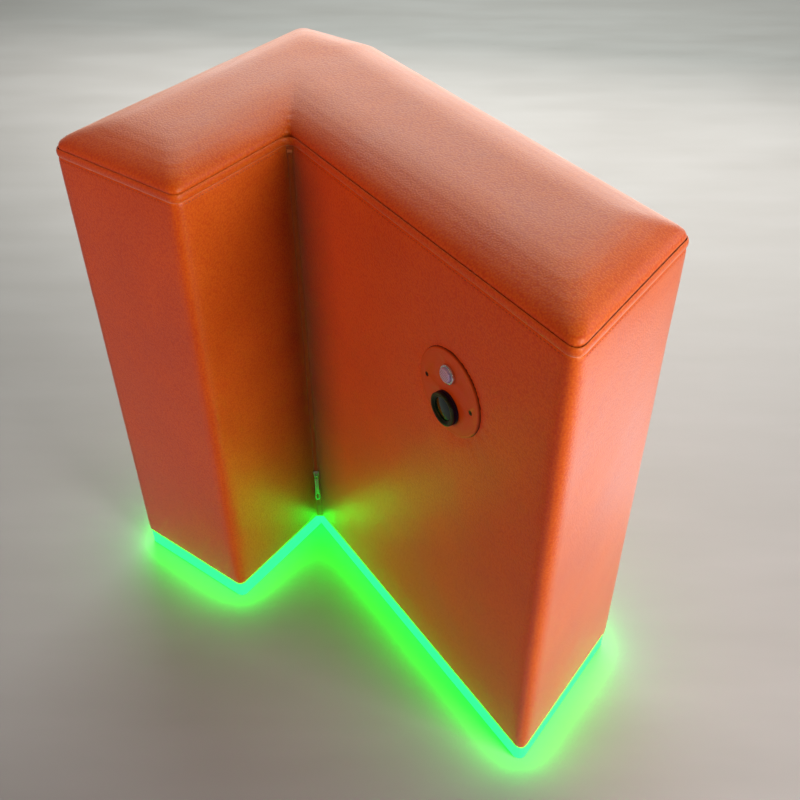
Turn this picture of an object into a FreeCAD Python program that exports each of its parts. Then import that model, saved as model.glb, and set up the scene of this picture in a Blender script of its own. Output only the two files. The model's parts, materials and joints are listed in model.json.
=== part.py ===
"""Two-wing upholstered photo booth, as a parametric document of separate pieces.

The plan is a V that opens towards -Y, with seven faces between the corners a to g,
taken anticlockwise: a-b is the left wing's end, b-c and c-d are the inner faces,
d-e is the right wing's end, e-f and g-a are the backs and f-g cuts the outer corner.
Every layer of the wall is a step inwards from that plan: leather, foam, board.
Lengths are millimetres, +Z is up and the origin is the bottom centre of the box.
"""
import FreeCAD, Part
import os

import Sketcher

DOC = FreeCAD.newDocument("PhotoBooth")
SHEET = DOC.addObject("Spreadsheet::Sheet", "Dims")
CORNERS = "abcdefg"
FACES = ["ab", "bc", "cd", "de", "ef", "fg", "ga"]
INNER_CORNER = "c"

# Driving dimensions, each set by itself.
SIZES = {
    "body_height": 1000,
    "left_inner": 283,
    "right_inner": 779,
    "left_width": 309,
    "right_width": 340,
    "wing_angle": 70,
    "corner_face": 210,
    "corner_radius": 18,
    "leather": 2,
    "foam": 15,
    "board": 18,
    "hem_width": 30,
    "band_height": 16,
    "crown_rise": 40,
    "crown_run": 110,
    "crown_softness": 0.15,
    "base_height": 45,
    "glide_height": 4,
    "glide_radius": 17,
    "glide_inset": 40,
    "glide_shank_radius": 4,
    "glide_shank_length": 25,
    "plinth_inset": 19,
    "plinth_width": 42,
    "light_gap": 1,
    "light_inset": 3,
    "light_depth": 8,
    "rail_wall": 1.5,
    "strip_thickness": 1.2,
    "strip_width": 12,
    "post_size": 32,
    "stiffener_rim": 60,
    "zip_width": 12,
    "tape_thickness": 1.2,
    "chain_width": 8,
    "chain_depth": 2.6,
    "chain_end_gap": 14,
    "stop_width": 10,
    "stop_height": 6,
    "slider_up": 147,
    "slider_width": 14,
    "slider_height": 24,
    "slider_plate": 2.5,
    "slider_gap": 0.3,
    "flange_width": 1.5,
    "flange_depth": 2,
    "bridge_width": 3,
    "bridge_height": 14,
    "bridge_reach": 6,
    "pull_width": 12,
    "pull_length": 80,
    "pull_thickness": 2.5,
    "pull_ear": 2.5,
    "pull_ear_reach": 9,
    "pull_pin_radius": 1.8,
    "pull_pin_out": 3.1,
    "running_gap": 0.05,
    "side_gap": 0.3,
    "fit_gap": 0.05,
    "plate_along": 508,
    "plate_up": 747,
    "plate_radius": 81,
    "plate_top": 6,
    "plate_bevel": 2.5,
    "gasket_height": 1.5,
    "gasket_proud": 0.8,
    "gasket_width": 6,
    "opening_margin": 6,
    "screw_margin": 20.5,
    "screw_radius": 2.5,
    "screw_head_radius": 4.6,
    "screw_head_height": 2.8,
    "screw_length": 33,
    "socket_radius": 1.5,
    "socket_depth": 2,
    "spacer_radius": 5,
    "lens_drop": 30,
    "lens_radius": 31,
    "lens_flange_top": 9,
    "lens_tube_radius": 25,
    "lens_back_radius": 27,
    "lens_bore": 20,
    "ring_low": 9.3,
    "ring_high": 14.7,
    "rim_low": 15,
    "rim_high": 19,
    "rim_bore": 22,
    "glass_low": 13.5,
    "glass_high": 16.5,
    "lens_back": -25,
    "inner_lens_radius": 15,
    "inner_lens_thickness": 4,
    "camera_width": 62,
    "camera_height": 64,
    "camera_depth": 80,
    "bracket_thickness": 2,
    "bracket_margin": 1.5,
    "nut_height": 4,
    "button_rise": 41,
    "button_radius": 18,
    "bezel_top": 12,
    "bezel_wall": 5,
    "shank_radius": 14,
    "shank_back": -22,
    "bore_back": -12,
    "cap_radius": 13,
    "cap_top": 16,
    "cap_bottom": 4,
    "cap_travel": 3,
    "stem_radius": 3.9,
    "stem_back": -26,
    "spring_wire": 0.8,
    "spring_radius": 8,
    "spring_pitch": 3.6,
    "clip_radius": 7,
    "clip_thickness": 1,
    "micro_width": 20,
    "micro_height": 20,
    "micro_depth": 18,
    "power_up": 90,
    "switch_width": 26,
    "switch_height": 32,
    "switch_flange": 2,
    "switch_depth": 40,
    "switch_wall": 2,
    "switch_lip": 3,
    "rocker_pivot_depth": 4,
    "rocker_pin_radius": 1.5,
    "rocker_tip": 3,
    "rocker_root": 8,
    "gland_offset": 18,
    "switch_offset": -35,
    "gland_radius": 14,
    "gland_head": 8,
    "gland_shank_radius": 10,
    "gland_bore": 4,
    "gland_tail": 15,
    "gland_nut_height": 6,
    "controller_length": 190,
    "controller_width": 150,
    "controller_height": 45,
    "controller_offset": 230,
    "supply_length": 160,
    "supply_width": 98,
    "supply_height": 42,
    "supply_offset": 165,
    "box_lid": 2,
}

# Plan geometry that follows from the driving dimensions.
DERIVED = {
    "half_angle": "wing_angle / 2",
    "sin_half": "sin(half_angle)",
    "cos_half": "cos(half_angle)",
    "angle_ab": "-half_angle",
    "angle_bc": "90 - half_angle",
    "angle_cd": "half_angle - 90",
    "angle_de": "90 - half_angle",
    "angle_ef": "90 + half_angle",
    "angle_fg": "180 - half_angle",
    "angle_ga": "270 - half_angle",
    "turn_a": "90",
    "turn_b": "90",
    "turn_c": "wing_angle - 180",
    "turn_d": "180 - wing_angle",
    "turn_e": "wing_angle",
    "turn_f": "90 - wing_angle",
    "turn_g": "90",
    "end_face": "right_width / sin(wing_angle)",
    "back_run": "(right_width + (left_width - corner_face) * cos(wing_angle)) / sin(wing_angle)",
    "corner_b_x": "-left_inner * sin_half",
    "corner_b_y": "-left_inner * cos_half",
    "corner_a_x": "corner_b_x - left_width * cos_half",
    "corner_a_y": "corner_b_y + left_width * sin_half",
    "corner_c_x": "0",
    "corner_c_y": "0",
    "corner_d_x": "right_inner * sin_half",
    "corner_d_y": "-right_inner * cos_half",
    "corner_e_x": "corner_d_x + end_face * sin_half",
    "corner_e_y": "corner_d_y + end_face * cos_half",
    "corner_g_x": "-left_width * cos_half + back_run * sin_half",
    "corner_g_y": "left_width * sin_half + back_run * cos_half",
    "corner_f_x": "corner_g_x + corner_face * cos_half",
    "corner_f_y": "corner_g_y - corner_face * sin_half",
    "square_reach": "corner_radius * (sin_half + cos_half - 1)",
    "left_edge": "corner_a_x + square_reach",
    "right_edge": "corner_e_x - corner_radius * (1 / cos_half - 1)",
    "front_edge": "corner_d_y + corner_radius * (1 / sin_half - 1)",
    "back_edge": "corner_g_y - square_reach",
    "origin_x": "(left_edge + right_edge) / 2",
    "origin_y": "(front_edge + back_edge) / 2",
    "board_inset": "leather + foam",
    "room_inset": "board_inset + board",
    "crease_z": "base_height + body_height",
    "seam_z": "crease_z - band_height",
    "floor_z": "base_height + leather",
    "cabin_z": "floor_z + board",
    "zip_back": "zip_width / 2 / tan(half_angle)",
    "chain_front": "zip_back + chain_depth",
    "slider_back": "chain_front + slider_gap",
    "slider_front": "slider_back + slider_plate",
    "slider_z": "base_height + slider_up",
    "chain_low": "slider_z - slider_height / 2 - side_gap",
    "chain_high": "seam_z - chain_end_gap",
    "rail_inset": "light_inset + light_depth",
    "light_low": "glide_height + light_gap",
    "light_high": "base_height - light_gap",
    "plate_z": "base_height + plate_up",
    "opening_width": "2 * (lens_radius + opening_margin)",
    "opening_height": "2 * (lens_drop + lens_radius + opening_margin)",
    "screw_offset": "plate_radius - screw_margin",
    "power_z": "base_height + power_up",
}


def fill_sheet():
    """Write the driving dimensions as plain numbers and what follows from them as formulas."""
    mitres = {}
    for index, corner in enumerate(CORNERS):
        before = FACES[index - 1]
        after = FACES[index]
        share = "(1 + cos(turn_%s))" % corner
        mitres["mitre_%s_x" % corner] = "-(sin(angle_%s) + sin(angle_%s)) / %s" % (before, after, share)
        mitres["mitre_%s_y" % corner] = "(cos(angle_%s) + cos(angle_%s)) / %s" % (before, after, share)
        mitres["plan_%s_x" % corner] = "corner_%s_x - origin_x" % corner
        mitres["plan_%s_y" % corner] = "corner_%s_y - origin_y" % corner
    rows = [(alias, str(number)) for alias, number in SIZES.items()]
    rows += [(alias, "=" + formula) for alias, formula in {**DERIVED, **mitres}.items()]
    for row, (alias, text) in enumerate(rows, start=1):
        SHEET.set("A%d" % row, alias)
        SHEET.set("B%d" % row, text)
        SHEET.setAlias("B%d" % row, alias)
    DOC.recompute()


def dims(text):
    """Turn a formula of sheet names into an expression that any object can read."""
    words = ""
    word = ""
    names = set(SIZES) | set(DERIVED) | PLAN_NAMES
    for letter in text + " ":
        if letter.isalnum() or letter == "_":
            word += letter
            continue
        words += "Dims." + word if word in names else word
        word = ""
        words += letter
    return words.strip()


PLAN_KINDS = ("mitre", "plan")
PLAN_NAMES = {"%s_%s_%s" % (kind, corner, axis) for kind in PLAN_KINDS for corner in CORNERS for axis in "xy"}


def value(text):
    """Return the number that a formula of sheet names gives now."""
    return float(SHEET.evalExpression(dims(text)))


def bind(target, name, text):
    """Bind a property of an object to a formula of sheet names."""
    target.setExpression(name, dims(text))


def corner_before(corner):
    """Return the face that runs into a corner."""
    return FACES[CORNERS.index(corner) - 1]


def corner_after(corner):
    """Return the face that leaves a corner."""
    return FACES[CORNERS.index(corner)]


def at_corner(corner, inset):
    """Return the formulas of a corner of the plan, moved inwards by inset."""
    return tuple("plan_%s_%s + (%s) * mitre_%s_%s" % (corner, axis, inset, corner, axis) for axis in "xy")


def along_face(point, face, distance):
    """Move a point of two formulas along a face, the way the plan is walked."""
    return (
        "%s + (%s) * cos(angle_%s)" % (point[0], distance, face),
        "%s + (%s) * sin(angle_%s)" % (point[1], distance, face),
    )


def off_face(point, face, distance):
    """Move a point of two formulas straight out of a face."""
    return (
        "%s + (%s) * sin(angle_%s)" % (point[0], distance, face),
        "%s - (%s) * cos(angle_%s)" % (point[1], distance, face),
    )


class Loop:
    """One closed outline of a sketch: straight runs between corners, round where it says so."""

    def __init__(self, points, rounds=None):
        """Keep the corner points and, for a rounded outline, (corner, inset, radius) for each."""
        self.points = points
        self.rounds = rounds or [None] * len(points)

    def draw(self, sketch):
        """Add the outline to the sketch, tied to the sheet."""
        ends = []
        arcs = []
        for point, rounding in zip(self.points, self.rounds):
            if rounding is None:
                place = FreeCAD.Vector(value(point[0]), value(point[1]), 0)
                ends.append((place, place))
                arcs.append(None)
            else:
                ends.append(self.draw_arc(sketch, rounding, arcs))
        lines = []
        for index in range(len(ends)):
            start = ends[index][1]
            stop = ends[(index + 1) % len(ends)][0]
            lines.append(sketch.addGeometry(Part.LineSegment(start, stop), False))
        for index, arc in enumerate(arcs):
            before = lines[index - 1]
            after = lines[index]
            if arc is None:
                sketch.addConstraint(Sketcher.Constraint("Coincident", before, 2, after, 1))
                tie_point(sketch, after, 1, self.points[index])
            else:
                sketch.addConstraint(Sketcher.Constraint("Tangent", before, 2, arc, 1))
                sketch.addConstraint(Sketcher.Constraint("Tangent", arc, 2, after, 1))

    @staticmethod
    def draw_arc(sketch, rounding, arcs):
        """Add the arc of one rounded corner and return its two ends."""
        corner, inset, radius = rounding
        centre = at_corner(corner, "(%s) + (%s)" % (inset, radius))
        middle = FreeCAD.Vector(value(centre[0]), value(centre[1]), 0)
        circle = Part.Circle(middle, FreeCAD.Vector(0, 0, 1), value(radius))
        quarter = 90
        first = FreeCAD.Units.Quantity(value("angle_%s" % corner_before(corner)) - quarter, "deg")
        turn = FreeCAD.Units.Quantity(value("turn_%s" % corner), "deg")
        start = first.getValueAs("rad").Value
        stop = start + turn.getValueAs("rad").Value
        arc = sketch.addGeometry(Part.ArcOfCircle(circle, start, stop), False)
        tie_point(sketch, arc, 3, centre)
        tie = sketch.addConstraint(Sketcher.Constraint("Radius", arc, value(radius)))
        bind(sketch, "Constraints[%d]" % tie, radius)
        arcs.append(arc)
        return circle.value(start), circle.value(stop)


class Circle:
    """A circle of a sketch."""

    def __init__(self, across, up, radius):
        """Keep the formulas of the centre and the radius."""
        self.centre = (across, up)
        self.radius = radius

    def draw(self, sketch):
        """Add the circle to the sketch, tied to the sheet."""
        middle = FreeCAD.Vector(value(self.centre[0]), value(self.centre[1]), 0)
        circle = Part.Circle(middle, FreeCAD.Vector(0, 0, 1), value(self.radius))
        index = sketch.addGeometry(circle, False)
        tie_point(sketch, index, 3, self.centre)
        tie = sketch.addConstraint(Sketcher.Constraint("Radius", index, value(self.radius)))
        bind(sketch, "Constraints[%d]" % tie, self.radius)


def tie_point(sketch, geometry, position, point):
    """Tie a point of the sketch's geometry to two formulas."""
    for kind, text in zip(("DistanceX", "DistanceY"), point):
        tie = sketch.addConstraint(Sketcher.Constraint(kind, -1, 1, geometry, position, value(text)))
        bind(sketch, "Constraints[%d]" % tie, text)


def outline(inset, radius="corner_radius"):
    """Return the rounded plan moved inwards, where radius is that of the unmoved plan."""
    points = [at_corner(corner, inset) for corner in CORNERS]
    turned = "(%s) - (%s)" % (radius, inset)
    rounds = [None if corner == INNER_CORNER else (corner, inset, turned) for corner in CORNERS]
    return Loop(points, rounds)


def sharp_outline(inset):
    """Return the plan moved inwards with plain corners."""
    return Loop([at_corner(corner, inset) for corner in CORNERS])


def rectangle(left, right, bottom, top):
    """Return a rectangle from the formulas of its sides."""
    return Loop([(left, bottom), (right, bottom), (right, top), (left, top)])


def new_body(label):
    """Start a body that becomes one node."""
    body = DOC.addObject("PartDesign::Body", "Body_" + label)
    body.Label = label
    return body


def new_sketch(body, name, loops, low, plane="XY_Plane"):
    """Draw loops on a sketch that stands at low above one of the body's own planes."""
    sketch = body.newObject("Sketcher::SketchObject", name)
    support = [feature for feature in body.Origin.OriginFeatures if feature.Role == plane][0]
    sketch.AttachmentSupport = [(support, "")]
    sketch.MapMode = "FlatFace"
    bind(sketch, "AttachmentOffset.Base.z", low)
    for loop in loops:
        loop.draw(sketch)
    return sketch


def add_prism(body, name, loops, low, high, plane="XY_Plane"):
    """Pad loops from low to high."""
    sketch = new_sketch(body, name + "_sketch", loops, low, plane)
    pad = body.newObject("PartDesign::Pad", name)
    pad.Profile = sketch
    bind(pad, "Length", "(%s) - (%s)" % (high, low))
    DOC.recompute()
    return pad


def cut_prism(body, name, loops, low, high, plane="XY_Plane"):
    """Cut loops out of the body from low to high, and check that something went."""
    before = body.Shape.Volume
    sketch = new_sketch(body, name + "_sketch", loops, low, plane)
    pocket = body.newObject("PartDesign::Pocket", name)
    pocket.Profile = sketch
    pocket.Reversed = True
    bind(pocket, "Length", "(%s) - (%s)" % (high, low))
    DOC.recompute()
    if body.Shape.Volume >= before:
        raise RuntimeError(name + " cuts nothing")
    return pocket


def on_plan(target, across="0", back="0", up="0", angle="0"):
    """Place an object in plan coordinates, turned about +Z."""
    text = "placement(vector(%s; %s; %s); rotation(%s; 0; 0))" % (across, back, up, angle)
    bind(target, "Placement", text)


def on_face(target, face, along, up, out="0"):
    """Place an object on a face: its X runs along the face, its Y up and its Z outwards."""
    start = at_corner(face[0], "0")
    point = off_face(along_face(start, face, along), face, out)
    text = "placement(vector(%s; %s; %s); rotation(angle_%s; 0; 90))" % (point[0], point[1], up, face)
    bind(target, "Placement", text)


def in_corner(target, up):
    """Place an object in the inner corner: its X runs across, its Y up and its Z out of the V."""
    text = "placement(vector(plan_c_x; plan_c_y; %s); rotation(0; 0; 90))" % up
    bind(target, "Placement", text)


def group(label, members):
    """Collect several solids of one kind in one node."""
    compound = DOC.addObject("Part::Compound", "Group_" + label)
    compound.Links = members
    compound.Label = label
    return compound


def cut_by(label, base, tools):
    """Cut tools out of a body and return the result as the node."""
    base.Label = label + "_blank"
    result = DOC.addObject("Part::Cut", "Cut_" + label)
    result.Base = base
    result.Tool = group(label + "_tools", tools)
    result.Label = label
    DOC.recompute()
    if result.Shape.Volume >= base.Shape.Volume:
        raise RuntimeError(label + " is not cut")
    return result


def ring_wall(label, outer, inner, low, high):
    """Build a closed band that follows the plan between two insets."""
    body = new_body(label)
    add_prism(body, label + "_pad", [outer, inner], low, high)
    return body


def face_slab(label, face, outer, inner, low, high):
    """Build one face's slab, mitred to its neighbours at both ends."""
    body = new_body(label)
    add_prism(body, label + "_pad", [mitred(face, outer, inner)], low, high)
    return body


def mitred(face, outer, inner):
    """Return the outline between two insets of one face, mitred at both corners."""
    first, last = face[0], face[1]
    points = [at_corner(first, outer), at_corner(last, outer)]
    points += [at_corner(last, inner), at_corner(first, inner)]
    return Loop(points)


def foam_end(corner, face):
    """Return the points where a foam slab's outer side ends, bevelled under the rounded leather."""
    inset = "leather"
    if corner == INNER_CORNER:
        return [at_corner(corner, inset)]
    radius = "(corner_radius - leather)"
    run = "%s * tan(turn_%s / 2)" % (radius, corner)
    if face == corner_before(corner):
        run = "-(%s)" % run
    tangent = along_face(at_corner(corner, inset), face, run)
    depth = "leather + %s * (1 - cos(turn_%s / 2))" % (radius, corner)
    return [tangent, at_corner(corner, depth)]


def foam_slab(face):
    """Build one face's foam between the leather and the board."""
    first, last = face[0], face[1]
    start = list(reversed(foam_end(first, face)))
    stop = foam_end(last, face)
    points = start + stop + [at_corner(last, "board_inset"), at_corner(first, "board_inset")]
    label = "foam_" + face
    body = new_body(label)
    add_prism(body, label + "_pad", [Loop(points)], "floor_z", "seam_z")
    return body


def build_base():
    """Build the glides, the plinth and the light band that the booth stands on."""
    nodes = []
    glides = []
    rails = []
    plinth_rails = []
    plinth_back = "plinth_inset + plinth_width"
    for corner in CORNERS:
        glide = new_body("glide_" + corner)
        disc = Circle("0", "0", "glide_radius")
        shank = Circle("0", "0", "glide_shank_radius")
        shank_top = "glide_height + glide_shank_length"
        add_prism(glide, "glide_disc_" + corner, [disc], "0", "glide_height")
        add_prism(glide, "glide_shank_" + corner, [shank], "glide_height", shank_top)
        point = at_corner(corner, "glide_inset")
        on_plan(glide, point[0], point[1])
        glides.append(glide)
    DOC.recompute()
    nodes.append(group("foot_glides", glides))
    for face in FACES:
        rail = face_slab("plinth_" + face, face, "plinth_inset", plinth_back, "glide_height", "base_height")
        for corner in face:
            point = at_corner(corner, "glide_inset")
            hole = Circle(point[0], point[1], "glide_shank_radius")
            cut_prism(rail, "glide_hole_%s_%s" % (face, corner), [hole], "glide_height", shank_top)
        plinth_rails.append(rail)
        rails.append(light_rail(face))
    nodes.append(group("plinth_rails", plinth_rails))
    nodes.append(group("light_rails", rails))
    middle = "(light_low + light_high) / 2"
    strip_back = "plinth_inset - rail_wall"
    strip = ring_wall(
        "light_strip",
        sharp_outline("%s - strip_thickness" % strip_back),
        sharp_outline(strip_back),
        "%s - strip_width / 2" % middle,
        "%s + strip_width / 2" % middle,
    )
    nodes.append(strip)
    outer = outline("light_inset")
    diffuser = ring_wall("light_diffuser", outer, sharp_outline("rail_inset"), "light_low", "light_high")
    nodes.append(diffuser)
    return nodes


def light_rail(face):
    """Build one mitred length of the channel that holds the light, open outwards."""
    label = "light_rail_" + face
    rail = face_slab(label, face, "plinth_inset - rail_wall", "plinth_inset", "light_low", "light_high")
    lip = mitred(face, "rail_inset", "plinth_inset - rail_wall")
    add_prism(rail, label + "_sill", [lip], "light_low", "light_low + rail_wall")
    add_prism(rail, label + "_head", [lip], "light_high - rail_wall", "light_high")
    return rail


def build_carcass():
    """Build the boards and posts that the foam is glued to."""
    nodes = []
    floor = new_body("base_board")
    add_prism(floor, "base_board_pad", [sharp_outline("board_inset")], "floor_z", "cabin_z")
    nodes.append(floor)
    top = new_body("top_board")
    add_prism(top, "top_board_pad", [sharp_outline("board_inset")], "seam_z - board", "seam_z")
    nodes.append(top)
    stiffener = new_body("middle_stiffener")
    middle = "(cabin_z + seam_z) / 2"
    window = sharp_outline("room_inset + post_size + stiffener_rim")
    rim = stiffener_outline()
    add_prism(stiffener, "stiffener_pad", [rim, window], "%s - board" % middle, middle)
    nodes.append(stiffener)
    nodes.append(group("corner_posts", [corner_post(corner) for corner in CORNERS]))
    return nodes


def stiffener_outline():
    """Return the room's outline with each corner cut back for its post."""
    points = []
    for corner in CORNERS:
        inside = at_corner(corner, "room_inset")
        points.append(along_face(inside, corner_before(corner), "-post_size"))
        points.append(at_corner(corner, "room_inset + post_size"))
        points.append(along_face(inside, corner_after(corner), "post_size"))
    return Loop(points)


def corner_post(corner):
    """Build the post that joins the two boards of a corner."""
    inside = at_corner(corner, "room_inset")
    points = [
        inside,
        along_face(inside, corner_after(corner), "post_size"),
        at_corner(corner, "room_inset + post_size"),
        along_face(inside, corner_before(corner), "-post_size"),
    ]
    label = "post_" + corner
    body = new_body(label)
    add_prism(body, label + "_pad", [Loop(points)], "cabin_z", "seam_z - board")
    return body


def plate_tools(label):
    """Return the tools that cut a wall layer for the control plate."""
    opening = new_body(label + "_opening")
    half = "opening_width / 2"
    tall = "opening_height / 2"
    hole = rectangle("-" + half, half, "-" + tall, tall)
    deep = "-2 * room_inset"
    add_prism(opening, label + "_opening_pad", [hole], deep, "room_inset")
    on_face(opening, "cd", "plate_along", "plate_z")
    tools = [opening]
    for side, place in (("left", "-screw_offset"), ("right", "screw_offset")):
        name = "%s_hole_%s" % (label, side)
        drill = new_body(name)
        add_prism(drill, name + "_pad", [Circle(place, "0", "spacer_radius")], deep, "room_inset")
        on_face(drill, "cd", "plate_along", "plate_z")
        tools.append(drill)
    return tools


def power_tools(label):
    """Return the tools that cut a wall layer for the power switch and the cable gland."""
    switch = new_body(label + "_switch_hole")
    half = "switch_width / 2 - switch_lip"
    tall = "switch_height / 2 - switch_lip"
    deep = "-2 * room_inset"
    middle = "corner_face / 2"
    hole = rectangle("-(%s)" % half, half, "-(%s)" % tall, tall)
    add_prism(switch, label + "_switch_pad", [hole], deep, "room_inset")
    on_face(switch, "fg", middle + " + switch_offset", "power_z")
    gland = new_body(label + "_gland_hole")
    add_prism(gland, label + "_gland_pad", [Circle("0", "0", "gland_shank_radius")], deep, "room_inset")
    on_face(gland, "fg", middle + " + gland_offset", "power_z")
    return [switch, gland]


def build_walls():
    """Build the board and the foam of every face."""
    nodes = []
    for face in FACES:
        board = face_slab("panel_" + face, face, "board_inset", "room_inset", "cabin_z", "seam_z - board")
        foam = foam_slab(face)
        for layer in (board, foam):
            label = layer.Label
            if face == "cd":
                layer = cut_by(label, layer, plate_tools(label))
            elif face == "fg":
                layer = cut_by(label, layer, power_tools(label))
            nodes.append(layer)
    return nodes


def build_cover():
    """Build the leather cover and the foam of its crowned top."""
    nodes = []
    skirt = new_body("leather_skirt")
    add_prism(skirt, "skirt_wall", [outline("0"), outline("leather")], "base_height", "seam_z")
    hem = [outline("leather"), sharp_outline("hem_width")]
    add_prism(skirt, "skirt_hem", hem, "base_height", "floor_z")
    half = "hem_width"
    notch = rectangle(
        "plan_c_x - %s" % half, "plan_c_x + %s" % half, "plan_c_y - zip_back", "plan_c_y + 2 * hem_width"
    )
    cut_prism(skirt, "zip_notch", [notch], "base_height", "seam_z")
    nodes.append(cut_by("leather_skirt", skirt, plate_tools("skirt_plate") + power_tools("skirt_power")))
    nodes.append(ring_wall("leather_band", outline("0"), outline("leather"), "seam_z", "crease_z"))
    foam = new_body("top_foam")
    add_prism(foam, "top_foam_block", [outline("leather")], "seam_z", "crease_z")
    add_crown(foam, "top_foam_crown", "leather", "PartDesign::AdditiveLoft")
    nodes.append(foam)
    leather = new_body("leather_top")
    add_crown(leather, "leather_crown", "0", "PartDesign::AdditiveLoft")
    add_crown(leather, "leather_hollow", "leather", "PartDesign::SubtractiveLoft")
    nodes.append(leather)
    return nodes


def add_crown(body, name, depth, kind):
    """Loft the domed top, a quarter ellipse in section, at a depth below the leather."""
    steps = 6
    sections = []
    for step in range(steps + 1):
        turn = 90 * step / steps
        inset = "%s + crown_run * (1 - cos(%g))" % (depth, turn)
        rise = "crease_z + (crown_rise - (%s)) * sin(%g)" % (depth, turn)
        radius = "corner_radius + (1 + crown_softness) * crown_run * (1 - cos(%g))" % turn
        sections.append(new_sketch(body, "%s_section_%d" % (name, step), [outline(inset, radius)], rise))
    loft = body.newObject(kind, name)
    loft.Profile = sections[0]
    loft.Sections = sections[1:]
    loft.Ruled = True
    DOC.recompute()
    return loft


def build_zip():
    """Build the zip that closes the cover in the inner corner, with its slider and pull."""
    tape = new_body("zip_tape")
    near = "zip_back"
    far = "zip_back - tape_thickness"
    points = []
    for side, depth in (("-", near), ("+", near), ("+", far), ("-", far)):
        half = "((%s) * tan(half_angle) + leather / cos_half)" % depth
        points.append(("plan_c_x %s %s" % (side, half), "plan_c_y - (%s)" % depth))
    add_prism(tape, "tape_pad", [Loop(points)], "base_height", "seam_z")

    chain = new_body("zip_chain")
    half = "chain_width / 2"
    strip = rectangle("-" + half, half, "zip_back", "chain_front")
    add_prism(chain, "chain_pad", [strip], "0", "chain_high - chain_low")
    on_plan(chain, "plan_c_x", "plan_c_y", "chain_low", "180")

    stops = []
    for name, low in (("lower", "chain_low - stop_height"), ("upper", "chain_high")):
        stop = new_body("zip_stop_" + name)
        block = rectangle("-stop_width / 2", "stop_width / 2", "zip_back", "chain_front")
        add_prism(stop, "stop_pad_" + name, [block], "0", "stop_height")
        on_plan(stop, "plan_c_x", "plan_c_y", low, "180")
        stops.append(stop)
    return [tape, chain, group("zip_stops", stops), zip_slider(), zip_pull()]


def zip_slider():
    """Build the slider: a front plate, two side flanges round the chain and a drilled bridge."""
    slider = new_body("zip_slider")
    half = "slider_width / 2"
    tall = "slider_height / 2"
    face = rectangle("-" + half, half, "-" + tall, tall)
    add_prism(slider, "slider_face", [face], "slider_back", "slider_front")
    inner = "chain_width / 2 + slider_gap"
    outer = "%s + flange_width" % inner
    for name, left, right in (("left", "-(%s)" % outer, "-(%s)" % inner), ("right", inner, outer)):
        wing = rectangle(left, right, "-" + tall, tall)
        add_prism(slider, "slider_flange_" + name, [wing], "slider_back - flange_depth", "slider_back")
    bridge = rectangle("-bridge_width / 2", "bridge_width / 2", "-bridge_height / 2", "bridge_height / 2")
    add_prism(slider, "slider_bridge", [bridge], "slider_front", "slider_front + bridge_reach")
    eye = Circle("0", "slider_front + pull_pin_out", "pull_pin_radius + running_gap")
    cut_prism(slider, "slider_eye", [eye], "-bridge_width", "bridge_width", "YZ_Plane")
    in_corner(slider, "slider_z")
    return slider


def zip_pull():
    """Build the pull: two ears and a pin in the bridge's eye, and the tab that hangs from them."""
    pull = new_body("zip_pull")
    ear_low = "bridge_width / 2 + side_gap"
    ear_high = "%s + pull_ear" % ear_low
    pin_out = "slider_front + pull_pin_out"
    pin = Circle("0", pin_out, "pull_pin_radius")
    thick = "pull_thickness / 2"
    add_prism(pull, "pull_pin", [pin], "-(%s)" % ear_high, ear_high, "YZ_Plane")
    for name, low, high in (("left", "-(%s)" % ear_high, "-(%s)" % ear_low), ("right", ear_low, ear_high)):
        eye = Circle("0", pin_out, "pull_pin_radius + pull_thickness / 2")
        add_prism(pull, "pull_eye_" + name, [eye], low, high, "YZ_Plane")
        ear = rectangle("-pull_ear_reach", "0", "%s - %s" % (pin_out, thick), "%s + %s" % (pin_out, thick))
        add_prism(pull, "pull_ear_" + name, [ear], low, high, "YZ_Plane")
    tab = rectangle("-pull_width / 2", "pull_width / 2", "-pull_length", "-pull_ear_reach")
    add_prism(pull, "pull_tab", [tab], "%s - %s" % (pin_out, thick), "%s + %s" % (pin_out, thick))
    in_corner(pull, "slider_z")
    return pull


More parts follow.
